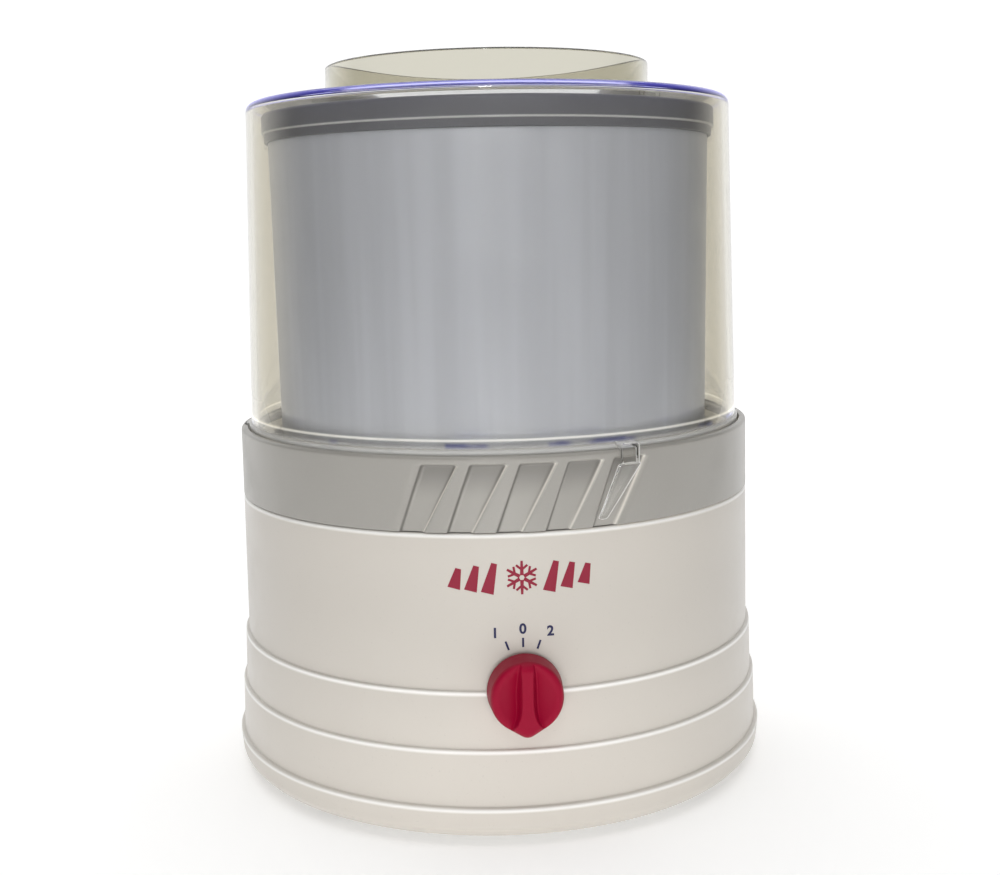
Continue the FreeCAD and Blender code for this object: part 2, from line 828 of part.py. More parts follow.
def second_gear():
    return compound_gear(second_at, middle_z, first_deg, second_deg + 180)


def first_gear():
    return compound_gear(first_at, first_z, motor_deg, first_deg + 180)


def motor_pinion():
    body = gear_blank(pinion_teeth, first_z - 0.8, gear_w + 0.8, motor_deg + 180)
    body.translate(Vector(motor_at.x, motor_at.y, 0))
    return body.cut(rod(motor_shaft_r, first_z - 2, first_z + gear_w + 1, motor_at))


def case_outline():
    """Centres and radii of the round lobes that the gear case is made of."""
    tip = addendum * gear_module + case_clear
    return [(spindle_at, output_pitch_r + tip), (second_at, wheel_pitch_r + tip),
            (first_at, wheel_pitch_r + tip), (motor_at, pinion_pitch_r + tip + 2.0)]


def case_body(z0, z1, grow=0.0):
    return fused([rod(r + grow, z0, z1, p) for p, r in case_outline()])


def case_screw_points():
    lug = case_wall + screw_head_r
    points = [step(spindle_at, output_pitch_r + case_clear + lug, d) for d in case_screw_angles]
    points.append(step(first_at, wheel_pitch_r + case_clear + lug, first_screw_deg))
    return points


def screw_lugs(z0, z1):
    return [rod(screw_head_r + lug_wall, z0, z1, p) for p in case_screw_points()]


def motor_screw_points():
    return [motor_at + Vector(s * motor_screw_x, 0, 0) for s in (-1, 1)]


def gear_case():
    """Tub that holds the gears: floor, side wall, and bosses for the axles and the spindle."""
    floor_top = case_floor_z + case_floor_t
    body = case_body(case_floor_z, case_lid_z, case_wall).cut(case_body(floor_top, case_lid_z + 1))
    post_z = stator_z + stator_h + bracket_t
    x, y = motor_at.x, motor_at.y
    ear_x = (x - motor_screw_x, x + motor_screw_x)
    ears = [block(*ear_x, y - motor_post_r, y + motor_post_r, case_floor_z, floor_top)]
    ears += [rod(motor_post_r, post_z, floor_top, p) for p in motor_screw_points()]
    lugs = [lug.cut(case_body(floor_top, case_lid_z + past))
            for lug in screw_lugs(case_lid_z - lug_h, case_lid_z)]
    body = fused([body] + ears + lugs)
    body = body.fuse([
        rod(case_post_r, floor_top - lap, middle_z - 0.4, second_at),
        rod(case_post_r, floor_top - lap, first_z - 0.4, first_at),
        rod(spindle_r + bush_wall + 2.0, floor_top - lap, middle_z - 1.0, spindle_at),
    ])
    body = body.cut([
        rod(axle_r, case_floor_z + 1, middle_z, second_at),
        rod(axle_r, case_floor_z + 1, first_z, first_at),
        rod(spindle_r + bush_wall, case_floor_z + 1.2, middle_z + 1, spindle_at),
        rod(motor_shaft_r + 1.2, case_floor_z - past, floor_top + past, motor_at),
    ])
    for p in motor_screw_points():
        body = body.cut(rod(screw_r, post_z - past, post_z + motor_post_screw + 1, p))
    for p in case_screw_points():
        body = body.cut(rod(screw_r, case_lid_z - lug_h - 1, case_lid_z + past, p))
    return body


def gear_case_lid():
    """Plate over the gears. The deck is screwed down on it."""
    body = case_body(case_lid_z, floor_under_z, case_wall)
    body = fused([body] + screw_lugs(case_lid_z, floor_under_z))
    low, high = case_lid_z - past, floor_under_z + past
    holes = [rod(screw_r + screw_play, low, high, p) for p in case_screw_points()]
    holes.append(rod(spindle_r + bush_wall, low, high))
    holes += [rod(axle_r, low, floor_under_z - axle_sink, p) for p in (second_at, first_at)]
    return body.cut(holes)


def case_screws():
    length = deck_t + case_lid_t + lug_h - 3.0
    return Part.makeCompound([screw(p, floor_z, length, up=False) for p in case_screw_points()])


def spindle_bush(z0, z1):
    body = rod(spindle_r + bush_wall, z0, z1)
    return body.cut(rod(spindle_r + 0.05, z0 - 1, z1 + 1))


def drive_spindle():
    """Steel shaft, from its lower bush to inside the turntable."""
    return rod(spindle_r, case_floor_z + spindle_foot, floor_z + turntable_gap + turntable_t)


def turntable():
    """Disc that the bowl's foot rests on, with the six-sided dog that turns it."""
    z0 = floor_z + turntable_gap
    top = foot_z - bowl_seat_gap
    body = turned([
        (0, z0),
        (turntable_r - turntable_chamfer, z0),
        (turntable_r, z0 + 0.6),
        (turntable_r, top, 0.5),
        (0, top),
    ])
    dog = hexagon(dog_flats, top - lap, top + dog_h)
    body = body.fuse(dog).removeSplitter()
    return body.cut(rod(spindle_r, z0 - 1, z0 + turntable_t))


# ---- motor


def stator():
    """Stack of laminations: a closed frame with a rotor bore at one side and a coil leg at the other."""
    x, y = motor_at.x, motor_at.y
    z0, z1 = stator_z, stator_z + stator_h
    back_y = y + stator_d / 2 + stator_back
    window_x = stator_w / 2 - stator_leg
    window_y = (y + rotor_r + stator_bridge, back_y - stator_leg)
    body = block(x - stator_w / 2, x + stator_w / 2, y - stator_d / 2, back_y, z0, z1)
    body = body.cut(block(x - window_x, x + window_x, *window_y, z0 - past, z1 + past))
    body = body.cut(rod(rotor_r + rotor_gap, z0 - 1, z1 + 1, motor_at))
    holes = [rod(screw_r + 0.2, z0 - 1, z1 + 1, p) for p in motor_screw_points()]
    upright = [e for e in body.Edges if len(e.Vertexes) == 2 and abs(e.tangentAt(e.FirstParameter).z) > 0.99]
    corners = [e for e in upright if abs(abs(e.Vertexes[0].X - x) - stator_w / 2) < 0.01]
    return body.makeFillet(stator_round, corners).cut(holes)


def leg_span():
    """Front and back of the stator's outer leg."""
    back_y = motor_at.y + stator_d / 2 + stator_back
    return back_y - stator_leg, back_y


def leg_hole(x0, x1):
    """What is cut away for the stator's leg, with a gap all round."""
    y0, y1 = leg_span()
    g = coil_gap
    return block(x0, x1, y0 - g, y1 + g, stator_z - g, stator_z + stator_h + g)


def coil():
    """Winding on a bobbin round the stator's outer leg."""
    x0, x1 = motor_at.x - coil_w / 2, motor_at.x + coil_w / 2
    y0, y1 = leg_span()
    outer = block(x0, x1, y0 - coil_wall, y1 + coil_wall,
                  stator_z - coil_wall + 1, stator_z + stator_h + coil_wall - 1)
    lengthways = [e for e in outer.Edges if abs(e.tangentAt(e.FirstParameter).x) > 0.99]
    return outer.makeFillet(coil_round, lengthways).cut(leg_hole(x0 - past, x1 + past))


def bobbin_flange(side):
    """End plate of the bobbin, against one end of the winding."""
    x = motor_at.x + side * coil_w / 2
    y0, y1 = leg_span()
    x0 = x if side > 0 else x - bobbin_t
    plate = block(x0, x0 + bobbin_t, y0 - coil_wall - bobbin_over, y1 + coil_wall + 2 * bobbin_over,
                  stator_z - coil_wall, stator_z + stator_h + coil_wall)
    return plate.cut(leg_hole(x0 - past, x0 + bobbin_t + past))


def bracket(base_z, rise, boss):
    """Bent strip across the stator that carries a shaft bearing. rise and boss are signed."""
    x, y = motor_at.x, motor_at.y
    half = motor_screw_x + bracket_reach
    inner, outer = bracket_leg_x, bracket_leg_x + bracket_t
    y0, y1 = y - bracket_w / 2, y + bracket_w / 2
    foot = sorted((base_z, base_z + math.copysign(bracket_t, rise)))
    top = sorted((base_z + rise, base_z + rise + math.copysign(bracket_t, rise)))
    leg = sorted((base_z, base_z + rise + math.copysign(bracket_t, rise)))
    parts = [
        block(x - half, x - inner, y0, y1, *foot),
        block(x + inner, x + half, y0, y1, *foot),
        block(x - outer, x - inner, y0, y1, *leg),
        block(x + inner, x + outer, y0, y1, *leg),
        block(x - outer, x + outer, y0, y1, *top),
    ]
    boss_z = sorted((top[0] if rise > 0 else top[1], (top[1] if rise > 0 else top[0]) + boss))
    parts.append(rod(bracket_boss_r, *boss_z, motor_at))
    body = fused(parts)
    holes = [rod(motor_shaft_r + motor_shaft_gap, leg[0] - 10, leg[1] + 10, motor_at)]
    holes += [rod(screw_r + 0.2, leg[0] - 10, leg[1] + 10, p) for p in motor_screw_points()]
    return body.cut(holes)


def upper_bracket():
    return bracket(stator_z + stator_h, bracket_rise - bracket_t, bracket_boss_h)


def lower_bracket():
    return bracket(stator_z, -(bracket_rise - bracket_t), -bracket_boss_h)


def motor_screws():
    """Two long screws through the brackets and the stator."""
    length = stator_h + 2 * bracket_t + motor_post_screw
    return Part.makeCompound([screw(p, stator_z - bracket_t, length) for p in motor_screw_points()])


def rotor():
    z0 = stator_z - (rotor_h - stator_h) / 2
    body = rod(rotor_r, z0, z0 + rotor_h, motor_at)
    return body.cut(rod(motor_shaft_r, z0 - 1, z0 + rotor_h + 1, motor_at))


def motor_shaft():
    return rod(motor_shaft_r, fan_z - shaft_below_fan, first_z + gear_w, motor_at)


def fan():
    """Cooling fan: a hub with flat blades set at a slant."""
    z0, z1 = fan_z, fan_z + fan_h
    parts = [rod(fan_hub_r, z0, z1)]
    for k in range(fan_blades):
        blade = block(fan_hub_r - 1, fan_r, -fan_blade_t / 2, fan_blade_t / 2, z0 - 1.0, z1 + 1.0)
        blade.rotate(Vector(0, 0, (z0 + z1) / 2), Vector(1, 0, 0), fan_slant_deg)
        blade.rotate(Vector(0, 0, 0), Vector(0, 0, 1), 360.0 * k / fan_blades)
        parts.append(blade)
    body = fused(parts).common(rod(fan_r, z0, z1))
    body = body.cut(rod(motor_shaft_r, z0 - 1, z1 + 1))
    body.translate(Vector(motor_at.x, motor_at.y, 0))
    return body


# ---- selector


def switch_face_y():
    return -(housing_r(knob_z + switch_h / 2) - housing_wall) + switch_wall_lap


def along_y(r, y0, y1, z):
    """A round bar along Y."""
    return Part.makeCylinder(r, y1 - y0, Vector(0, y0, z), Vector(0, 1, 0))


def switch_body():
    """Rotary switch behind the front wall, with its bush through the wall and two blade terminals."""
    face_y = switch_face_y()
    back_y = face_y + switch_depth
    body = block(-switch_w / 2, switch_w / 2, face_y, back_y, knob_z - switch_h / 2, knob_z + switch_h / 2)
    lengthways = [e for e in body.Edges if abs(e.tangentAt(e.FirstParameter).y) > 0.99]
    body = body.makeFillet(switch_round, lengthways)
    bush_y = -tier_2_foot_r
    pieces = [body, along_y(switch_bush_r, bush_y, face_y + lap, knob_z)]
    for x in (-terminal_x, terminal_x):
        pieces.append(block(x - terminal_w / 2, x + terminal_w / 2, back_y - lap, back_y + terminal_len,
                            knob_z - terminal_t / 2, knob_z + terminal_t / 2))
    return fused(pieces).cut(along_y(switch_shaft_r + shaft_fit, bush_y - past, back_y - 3.0, knob_z))


knob_back_y = -(tier_2_foot_r + knob_gap)
knob_front_y = knob_back_y - knob_depth
shaft_end_y = knob_front_y + shaft_short


def switch_shaft():
    """Round shaft with a flat where the knob sits on it."""
    shaft = along_y(switch_shaft_r, shaft_end_y, switch_face_y() + switch_depth - 4.0, knob_z)
    flat = block(-5, 5, shaft_end_y - 1, knob_back_y + 0.3, knob_z + switch_shaft_r - shaft_flat, knob_z + 5)
    return shaft.cut(flat)


def knob_outline(r, tip, y):
    """Circle drawn out to a soft point at the bottom, about the knob's axis."""
    point_z = tip + knob_tip_round * 0.7
    reach = math.acos(r / point_z)
    left = Vector(-r * math.sin(reach), y, -r * math.cos(reach))
    right = Vector(-left.x, y, left.z)
    top = Part.Arc(left, Vector(0, y, r), right).toShape()
    sides = rounded_edges([(right, 0), (Vector(0, y, -point_z), knob_tip_round), (left, 0)], closed=False)
    return Part.Wire([top] + sides)


def selector_knob():
    """Teardrop knob with a grip rib left standing between two hollowed sides."""
    front_r = knob_r - knob_taper
    tip = front_r + (knob_tip - knob_r) * 0.6
    ends = [knob_outline(knob_r, knob_tip, 0), knob_outline(front_r, tip, -knob_depth)]
    body = Part.makeLoft(ends, True, True)
    body = body.makeFillet(knob_edge, [e for e in body.Edges if e.BoundBox.YMax < -knob_depth + 1e-6])
    keep = along_y(front_r - scoop_rim, -2.5 * knob_depth, 0.5 * knob_depth, 0)
    half_width = math.sqrt(scoop_r ** 2 - (scoop_r - scoop_depth) ** 2)
    for side in (-1, 1):
        scoop = Part.makeCylinder(scoop_r, 2 * scoop_r, Vector(0, 0, -scoop_r), Vector(0, 0, 1))
        scoop.translate(Vector(side * (grip_w / 2 + half_width), scoop_depth - scoop_r - knob_depth, 0))
        body = body.cut(scoop.common(keep))
    bore_depth = knob_front_y - shaft_end_y + knob_depth
    bore = along_y(switch_shaft_r, -bore_depth, 0, 0)
    flat = block(-5, 5, -knob_depth, 1, switch_shaft_r - shaft_flat, 5)
    body = body.cut(bore.cut(flat))
    body.translate(Vector(0, knob_back_y, knob_z))
    return body


def cord_gland():
    """Flanged bush in the back wall that a mains lead passes through."""
    wall_y = housing_r(gland_z)
    flange_sag = wall_y - math.sqrt(wall_y ** 2 - gland_flange_r ** 2)
    start = wall_y - flange_sag
    outer_y = wall_y + gland_flange_t
    flange = along_y(gland_flange_r, start, outer_y, gland_z)
    flange = flange.makeFillet(gland_edge, [e for e in flange.Edges if e.BoundBox.YMin > outer_y - 1e-6])
    clear = 0.02
    wall = turned([
        (0, plinth_z),
        (tier_3_foot_r + clear, plinth_z),
        (tier_3_top_r + clear, ledge_2_z),
        (0, ledge_2_z),
    ])
    inner_y = wall_y - housing_wall - gland_in
    barrel = along_y(gland_r, inner_y, start + 1.5, gland_z)
    body = fused([flange.cut(wall), barrel])
    return body.cut(along_y(gland_bore_r, inner_y - past, outer_y + past, gland_z))


# ---- paddle


def mixing_paddle():
    """Open frame that scrapes the liner, on a hub over the liner's stub, under a ring held by the lid."""
    floor = liner_floor_z + paddle_floor_gap
    ring_z = lid_under_z - key_rib_h + paddle_ring_drop
    low_r = liner_floor_r - paddle_wall_gap
    high_r = liner_r(ring_z) - paddle_wall_gap
    inner_low, inner_high = low_r - paddle_blade_w, paddle_ring_in - 0.5
    corner = liner_corner
    shoulder_x = high_r - paddle_shoulder
    outer = section([
        (-low_r, floor, corner),
        (low_r, floor, corner),
        (shoulder_x, ring_z, 1.0),
        (-shoulder_x, ring_z, 1.0),
    ])
    window = section([
        (-inner_low, floor + paddle_foot_h, paddle_window_round),
        (inner_low, floor + paddle_foot_h, paddle_window_round),
        (inner_high, ring_z + past),
        (-inner_high, ring_z + past),
    ])
    frame = outer.cut(window)
    frame = frame.extrude(Vector(0, paddle_t, 0))
    frame.translate(Vector(0, -paddle_t / 2, 0))
    hub_r_out = pip_r + pip_gap + paddle_hub_wall
    bar_z = liner_floor_z + crossbar_z
    post_x, bar_x, half_t = paddle_post_w / 2, inner_low + 1.5, paddle_t / 2
    ring = rod(paddle_ring_out, ring_z, ring_z + paddle_ring_t)
    parts = [
        frame,
        rod(hub_r_out, floor, floor + paddle_hub_h),
        block(-post_x, post_x, -half_t, half_t, floor + paddle_hub_h - 1, bar_z + crossbar_h),
        block(-bar_x, bar_x, -half_t, half_t, bar_z, bar_z + crossbar_h),
        ring.cut(rod(paddle_ring_in, ring_z - past, ring_z + paddle_ring_t + past)),
    ]
    lug_end = neck_r - neck_wall + key_rib_lap + key_rib_len - paddle_lug_end
    for side in (-1, 1):
        x0, x1 = sorted((side * (paddle_ring_out - 1), side * lug_end))
        parts.append(block(x0, x1, -paddle_lug_w / 2, paddle_lug_w / 2, ring_z, ring_z + paddle_ring_t))
    body = fused(parts)
    return body.cut(rod(pip_r + pip_gap, floor - 1, floor + pip_h + 2))


save("bowl_outer_shell", bowl_shell())
save("bowl_liner", bowl_liner())
save("bowl_rim", bowl_rim())
save("bowl_coolant", bowl_coolant())
save("bowl_drive_socket", bowl_drive_socket())
save("lid", lid())
save("base_ring", base_ring())
save("bowl_deck", deck())
save("base_housing", base_housing())
save("bottom_plate", bottom_plate())
for corner_name, corner_deg in foot_angles.items():
    save("foot_" + corner_name, rubber_foot(corner_deg))
save("bottom_plate_screws", plate_screws())
save("output_gear", output_gear())
save("second_gear", second_gear())
save("first_gear", first_gear())
save("motor_pinion", motor_pinion())
save("gear_case", gear_case())
save("gear_case_lid", gear_case_lid())
save("gear_case_screws", case_screws())
save("second_gear_axle", rod(axle_r, case_floor_z + 1, floor_under_z - axle_sink, second_at))
save("first_gear_axle", rod(axle_r, case_floor_z + 1, floor_under_z - axle_sink, first_at))
save("upper_spindle_bush", spindle_bush(case_lid_z, floor_z + 0.4))
save("lower_spindle_bush", spindle_bush(case_floor_z + 1.2, middle_z - 1.0))
save("drive_spindle", drive_spindle())
save("drive_turntable", turntable())
save("motor_stator", stator())
save("motor_coil", coil())
save("coil_bobbin_left", bobbin_flange(-1))
save("coil_bobbin_right", bobbin_flange(1))
save("motor_upper_bracket", upper_bracket())
save("motor_lower_bracket", lower_bracket())
save("motor_screws", motor_screws())
save("motor_rotor", rotor())
save("motor_shaft", motor_shaft())
save("motor_fan", fan())
save("selector_switch", switch_body())
save("switch_shaft", switch_shaft())
save("selector_knob", selector_knob())
save("cord_gland", cord_gland())
save("mixing_paddle", mixing_paddle())
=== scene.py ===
import bmesh
import bpy
import math
import numpy as np
from mathutils import Matrix, Vector


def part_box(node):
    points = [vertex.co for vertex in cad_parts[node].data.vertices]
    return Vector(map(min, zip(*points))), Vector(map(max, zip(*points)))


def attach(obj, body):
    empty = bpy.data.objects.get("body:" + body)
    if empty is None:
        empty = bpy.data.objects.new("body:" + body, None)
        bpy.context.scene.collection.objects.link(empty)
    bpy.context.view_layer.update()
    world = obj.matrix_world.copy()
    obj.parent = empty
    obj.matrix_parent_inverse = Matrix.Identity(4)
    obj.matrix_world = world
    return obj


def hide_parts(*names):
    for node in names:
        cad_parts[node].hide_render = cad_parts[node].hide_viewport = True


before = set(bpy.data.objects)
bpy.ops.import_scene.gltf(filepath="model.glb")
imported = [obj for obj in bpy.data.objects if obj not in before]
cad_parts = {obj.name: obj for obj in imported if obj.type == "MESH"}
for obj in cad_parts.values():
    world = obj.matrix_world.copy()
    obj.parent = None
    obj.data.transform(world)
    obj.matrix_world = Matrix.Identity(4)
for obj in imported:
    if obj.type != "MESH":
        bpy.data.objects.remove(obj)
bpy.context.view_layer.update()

# Every size below is in millimetres, in the CAD's own frame: front is -Y, +Z is up.
mm = 0.001


def cadMm(node):
    # A CAD node's low and high corners: metres / mm.
    low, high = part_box(node)
    return np.array(low) / mm, np.array(high) / mm


ringLow, ringHigh = cadMm("base_ring")
housingLow, housingHigh = cadMm("base_housing")
deckHigh = cadMm("bowl_deck")[1]
shellLow, shellHigh = cadMm("bowl_outer_shell")
rimLow, rimHigh = cadMm("bowl_rim")
linerLow, linerHigh = cadMm("bowl_liner")
lidLow, lidHigh = cadMm("lid")
knobHigh = cadMm("selector_knob")[1]
seamZ = housingHigh[2]


def roundedPath(corners, steps=6):
    # A closed outline through (r, z, radius) corners: straight runs joined by arcs that touch both runs. With the
    # half angle h between the runs, an arc starts radius / tan h from its corner, and its middle is radius / sin h off.
    spots = np.array([(c[0], c[1]) for c in corners], float)
    path = []
    for i, corner in enumerate(corners):
        radius = corner[2] if len(corner) > 2 else 0.15
        here = spots[i]
        back = spots[i - 1] - here
        onward = spots[(i + 1) % len(spots)] - here
        if radius <= 0:
            path.append(here[None, :])
            continue
        backLength, onwardLength = np.linalg.norm(back), np.linalg.norm(onward)
        back, onward = back / backLength, onward / onwardLength
        half = math.acos(np.clip(back @ onward, -1, 1)) / 2
        if half > math.pi / 2 - 0.02:
            path.append(here[None, :])
            continue
        reach = min(radius / math.tan(half), 0.48 * backLength, 0.48 * onwardLength)
        radius = reach * math.tan(half)
        middle = here + (back + onward) / np.linalg.norm(back + onward) * radius / math.sin(half)
        first, last = here + back * reach - middle, here + onward * reach - middle
        sweep = math.pi - 2 * half
        t = np.linspace(0, 1, steps + 1)[:, None]
        path.append(middle + (np.sin((1 - t) * sweep) * first + np.sin(t * sweep) * last) / math.sin(sweep))
    return np.concatenate(path)


def splitRuns(path, longest):
    # Adds points on runs longer than longest: start + share * run, with the shares 0, 1/n, 2/n and so on.
    run = np.roll(path, -1, axis=0) - path
    count = np.maximum(1, np.ceil(np.linalg.norm(run, axis=1) / longest)).astype(int)
    first = np.repeat(np.cumsum(count) - count, count)
    share = (np.arange(count.sum()) - first) / np.repeat(count, count)
    return np.repeat(path, count, axis=0) + share[:, None] * np.repeat(run, count, axis=0)


def gridFaces(rows, columns, wrapRows=True, wrapColumns=True):
    # Quads between neighbours of a rows x columns grid of points: point (i, j) is number i * columns + j.
    i = np.arange(rows if wrapRows else rows - 1)
    j = np.arange(columns if wrapColumns else columns - 1)
    i, j = np.meshgrid(i, j, indexing="ij")
    nextI, nextJ = (i + 1) % rows, (j + 1) % columns
    quads = np.stack([i * columns + j, nextI * columns + j, nextI * columns + nextJ, i * columns + nextJ], -1)
    return quads.reshape(-1, 4)


def enclosed(points, faces):
    # Six times the signed volume, the sum of a . (b x c) + a . (c x d); it is negative when the faces look inwards.
    a, b, c, d = (points[faces[:, k]] for k in range(4))
    return np.einsum("ij,ij->", a, np.cross(b, c)) + np.einsum("ij,ij->", a, np.cross(c, d))


def meshPiece(name, points, faces, merge=True):
    # A smooth piece from points in millimetres and quads: co = points * mm, with the quads reversed if the enclosed
    # volume is negative. merge joins points that share a spot, which closes poles.
    points = np.asarray(points, float)
    if enclosed(points, faces) < 0:
        faces = faces[:, ::-1]
    data = bpy.data.meshes.new(name)
    data.vertices.add(len(points))
    data.vertices.foreach_set("co", (points * mm).astype(np.float32).ravel())
    data.loops.add(faces.size)
    data.loops.foreach_set("vertex_index", faces.astype(np.int32).ravel())
    data.polygons.add(len(faces))
    data.polygons.foreach_set("loop_start", np.arange(0, faces.size, 4, dtype=np.int32))
    data.update(calc_edges=True)
    data.validate()
    if merge:
        work = bmesh.new()
        work.from_mesh(data)
        bmesh.ops.remove_doubles(work, verts=work.verts, dist=1e-6)
        bmesh.ops.dissolve_degenerate(work, edges=work.edges, dist=1e-7)
        work.to_mesh(data)
        work.free()
    data.polygons.foreach_set("use_smooth", np.ones(len(data.polygons), bool))
    data.update()
    piece = bpy.data.objects.new(name, data)
    bpy.context.scene.collection.objects.link(piece)
    return piece


def aroundZ(r, angle, z):
    # Points r from the Z axis and angle round from the front: x = r sin a, y = -r cos a.
    return np.stack([r * np.sin(angle), -r * np.cos(angle), z + 0 * angle], -1)


def lathePiece(name, path, steps=288, merge=False, middle=(0, 0)):
    # A closed outline of (r, z) turned about an upright axis through middle.
    angle = np.linspace(0, 2 * np.pi, steps, endpoint=False)
    points = aroundZ(path[:, 0][:, None], angle, path[:, 1][:, None]) + np.array([*middle, 0])
    return meshPiece(name, points.reshape(-1, 3), gridFaces(len(path), steps), merge)


def cappedTube(name, sections):
    # A row of closed sections joined up; each end is drawn in to its section's mean point.
    count = sections.shape[1]
    ends = [np.repeat(sections[k].mean(0)[None, :], count, 0)[None] for k in (0, -1)]
    points = np.concatenate([ends[0], sections, ends[1]])
    return meshPiece(name, points.reshape(-1, 3), gridFaces(len(points), count, wrapRows=False), True)


def softBlock(name, centre, size, turn=0.0, power=0.12, count=40):
    # A block with rounded edges: a ball whose sines and cosines w become sign(w) |w| ^ power.
    u = np.linspace(-np.pi / 2, np.pi / 2, count)[:, None]
    v = np.linspace(-np.pi, np.pi, 2 * count, endpoint=False)[None, :]

    def flat(wave):
        # sign(w) |w| ^ power.
        return np.sign(wave) * np.abs(wave) ** power

    x = flat(np.cos(u)) * flat(np.cos(v)) * size[0] / 2
    y = flat(np.cos(u)) * flat(np.sin(v)) * size[1] / 2
    z = flat(np.sin(u)) * size[2] / 2 + 0 * v
    c, s = math.cos(turn), math.sin(turn)
    points = np.stack([centre[0] + x * c - y * s, centre[1] + x * s + y * c, centre[2] + z], -1)
    return meshPiece(name, points.reshape(-1, 3), gridFaces(count, 2 * count, wrapRows=False), True)


def place(piece, body, slot, finish, *replaced):
    # Gives a piece its finish and body, and hides the CAD nodes it stands for. Its slot argument is not used.
    piece.data.materials.append(finish)
    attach(piece, body)
    if replaced:
        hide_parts(*replaced)
    return piece



def operators(operation):
    # A Math node of a value and something else, and its reflected form, of something else and a value.
    return (lambda self, other: self.maths(operation, self, other),
            lambda self, other: self.maths(operation, other, self))


class Wire:
    # One value in a material. Each sum on it adds a Math node, so a formula reads as it is written.
    def __init__(self, tree, socket):
        self.tree = tree
        self.socket = socket

    def maths(self, operation, *values):
        # The operation on the values, which are wires or numbers.
        made = self.tree.nodes.new("ShaderNodeMath")
        made.operation = operation
        for socket, value in zip(made.inputs, values):
            if isinstance(value, Wire):
                self.tree.links.new(value.socket, socket)
            else:
                socket.default_value = value
        return Wire(self.tree, made.outputs[0])

    def __abs__(self):
        return self.maths("ABSOLUTE", self)

    __add__, __radd__ = operators("ADD")
    __sub__, __rsub__ = operators("SUBTRACT")
    __mul__, __rmul__ = operators("MULTIPLY")
    __truediv__, __rtruediv__ = operators("DIVIDE")
    __pow__, __rpow__ = operators("POWER")


class Nodes:
    # A node tree, emptied.
    def __init__(self, tree):
        self.tree = tree
        self.tree.nodes.clear()

    def add(self, kind, settings=None, **values):
        # Any node from its type, its settings and its sockets' values or links. A socket goes by its name, or by
        # its number after an underscore.
        made = self.tree.nodes.new(kind)
        for key, value in (settings or {}).items():
            setattr(made, key, value)
        for key, value in values.items():
            socket = made.inputs[int(key[1:])] if key[0] == "_" else made.inputs[key.replace("_", " ")]
            if isinstance(value, Wire):
                self.tree.links.new(value.socket, socket)
            elif isinstance(value, bpy.types.NodeSocket):
                self.tree.links.new(value, socket)
            else:
                socket.default_value = value
        return made


class Finish(Nodes):
    # One material in object coordinates. Sizes in its methods are in millimetres.
    def __init__(self, name):
        self.material = bpy.data.materials.new(name)
        self.material.use_nodes = True
        super().__init__(self.material.node_tree)
        spots = self.add("ShaderNodeTexCoord")
        self.at, self.normal = spots.outputs["Object"], spots.outputs["Normal"]
        self.x, self.y, self.z = self.parts(self.at)

    def parts(self, vector):
        # A vector's three numbers.
        made = self.add("ShaderNodeSeparateXYZ", Vector=vector)
        return [Wire(self.tree, made.outputs[k]) for k in range(3)]

    def stretched(self, scale):
        # Object coordinates times scale: drawn out along the axes whose number is small.
        return self.add("ShaderNodeMapping", Vector=self.at, Scale=scale).outputs[0]

    def noise(self, size, detail=3.0, coarse=0.5, at=None):
        # Cloudy value from 0 to 1; its scale is 1 / a blotch's size.
        made = self.add("ShaderNodeTexNoise", Vector=at or self.at, Scale=1 / (size * mm), Detail=detail,
                        Roughness=coarse)
        return Wire(self.tree, made.outputs["Fac"])

    def cells(self, size):
        # Grains of a size: one random number for each grain.
        made = self.add("ShaderNodeTexVoronoi", Vector=self.at, Scale=1 / (size * mm))
        return Wire(self.tree, made.outputs["Color"])

    def ramp(self, value, low, high):
        # 0 below low, 1 above high, 3 t^2 - 2 t^3 between, where t is the share of the way.
        made = self.add("ShaderNodeMapRange", {"interpolation_type": "SMOOTHSTEP"}, Value=value, From_Min=low,
                        From_Max=high)
        return Wire(self.tree, made.outputs["Result"])

    def band(self, value, centre, width):
        # 1 on a line at centre, falling to 0 a width away: 1 - ramp of |value - centre|.
        return 1.0 - self.ramp(abs(value - centre), 0.0, width)

    def level(self, height, width):
        # A band round the piece at a height.
        return self.band(self.z, height * mm, width * mm)

    def rise(self, low, high):
        # 0 below one height and 1 above another.
        return self.ramp(self.z, low * mm, high * mm)

    def radius(self):
        # Distance from the Z axis: the root of x^2 + y^2.
        return (self.x * self.x + self.y * self.y) ** 0.5

    def mixed(self, factor, first, second):
        # first * (1 - factor) + second * factor.
        made = self.add("ShaderNodeMix", {"data_type": "RGBA"}, _0=factor, _6=first, _7=second)
        return made.outputs[2]

    def bump(self, height, depth, strength=1.0, onto=None):
        # A normal tipped by height, from 0 to 1, times depth.
        made = self.add("ShaderNodeBump", Height=height, Distance=depth * mm, Strength=strength)
        if onto:
            self.tree.links.new(onto, made.inputs["Normal"])
        return made.outputs[0]

    def shader(self, **values):
        # The main surface shader.
        return self.add("ShaderNodeBsdfPrincipled", None, **values)

    def joined(self, factor, first, second):
        # first * (1 - factor) + second * factor, for shaders.
        return self.add("ShaderNodeMixShader", _0=factor, _1=first.outputs[0], _2=second.outputs[0])

    def surface(self, base, roughness, normal, **constants):
        # The finished material of one main shader.
        return self.done(self.shader(Base_Color=base, Roughness=roughness, Normal=normal, **constants))

    def done(self, shader):
        # Links a shader to the output and returns the material.
        self.add("ShaderNodeOutputMaterial", Surface=shader.outputs[0])
        return self.material


def colour(red, green, blue):
    # A screen colour from 0 to 255 as light: ((c + 0.055) / 1.055) ^ 2.4, or c / 12.92 where it is dark.
    shown = np.array([red, green, blue]) / 255
    light = np.where(shown <= 0.04045, shown / 12.92, ((shown + 0.055) / 1.055) ** 2.4)
    return (*[float(v) for v in light], 1.0)


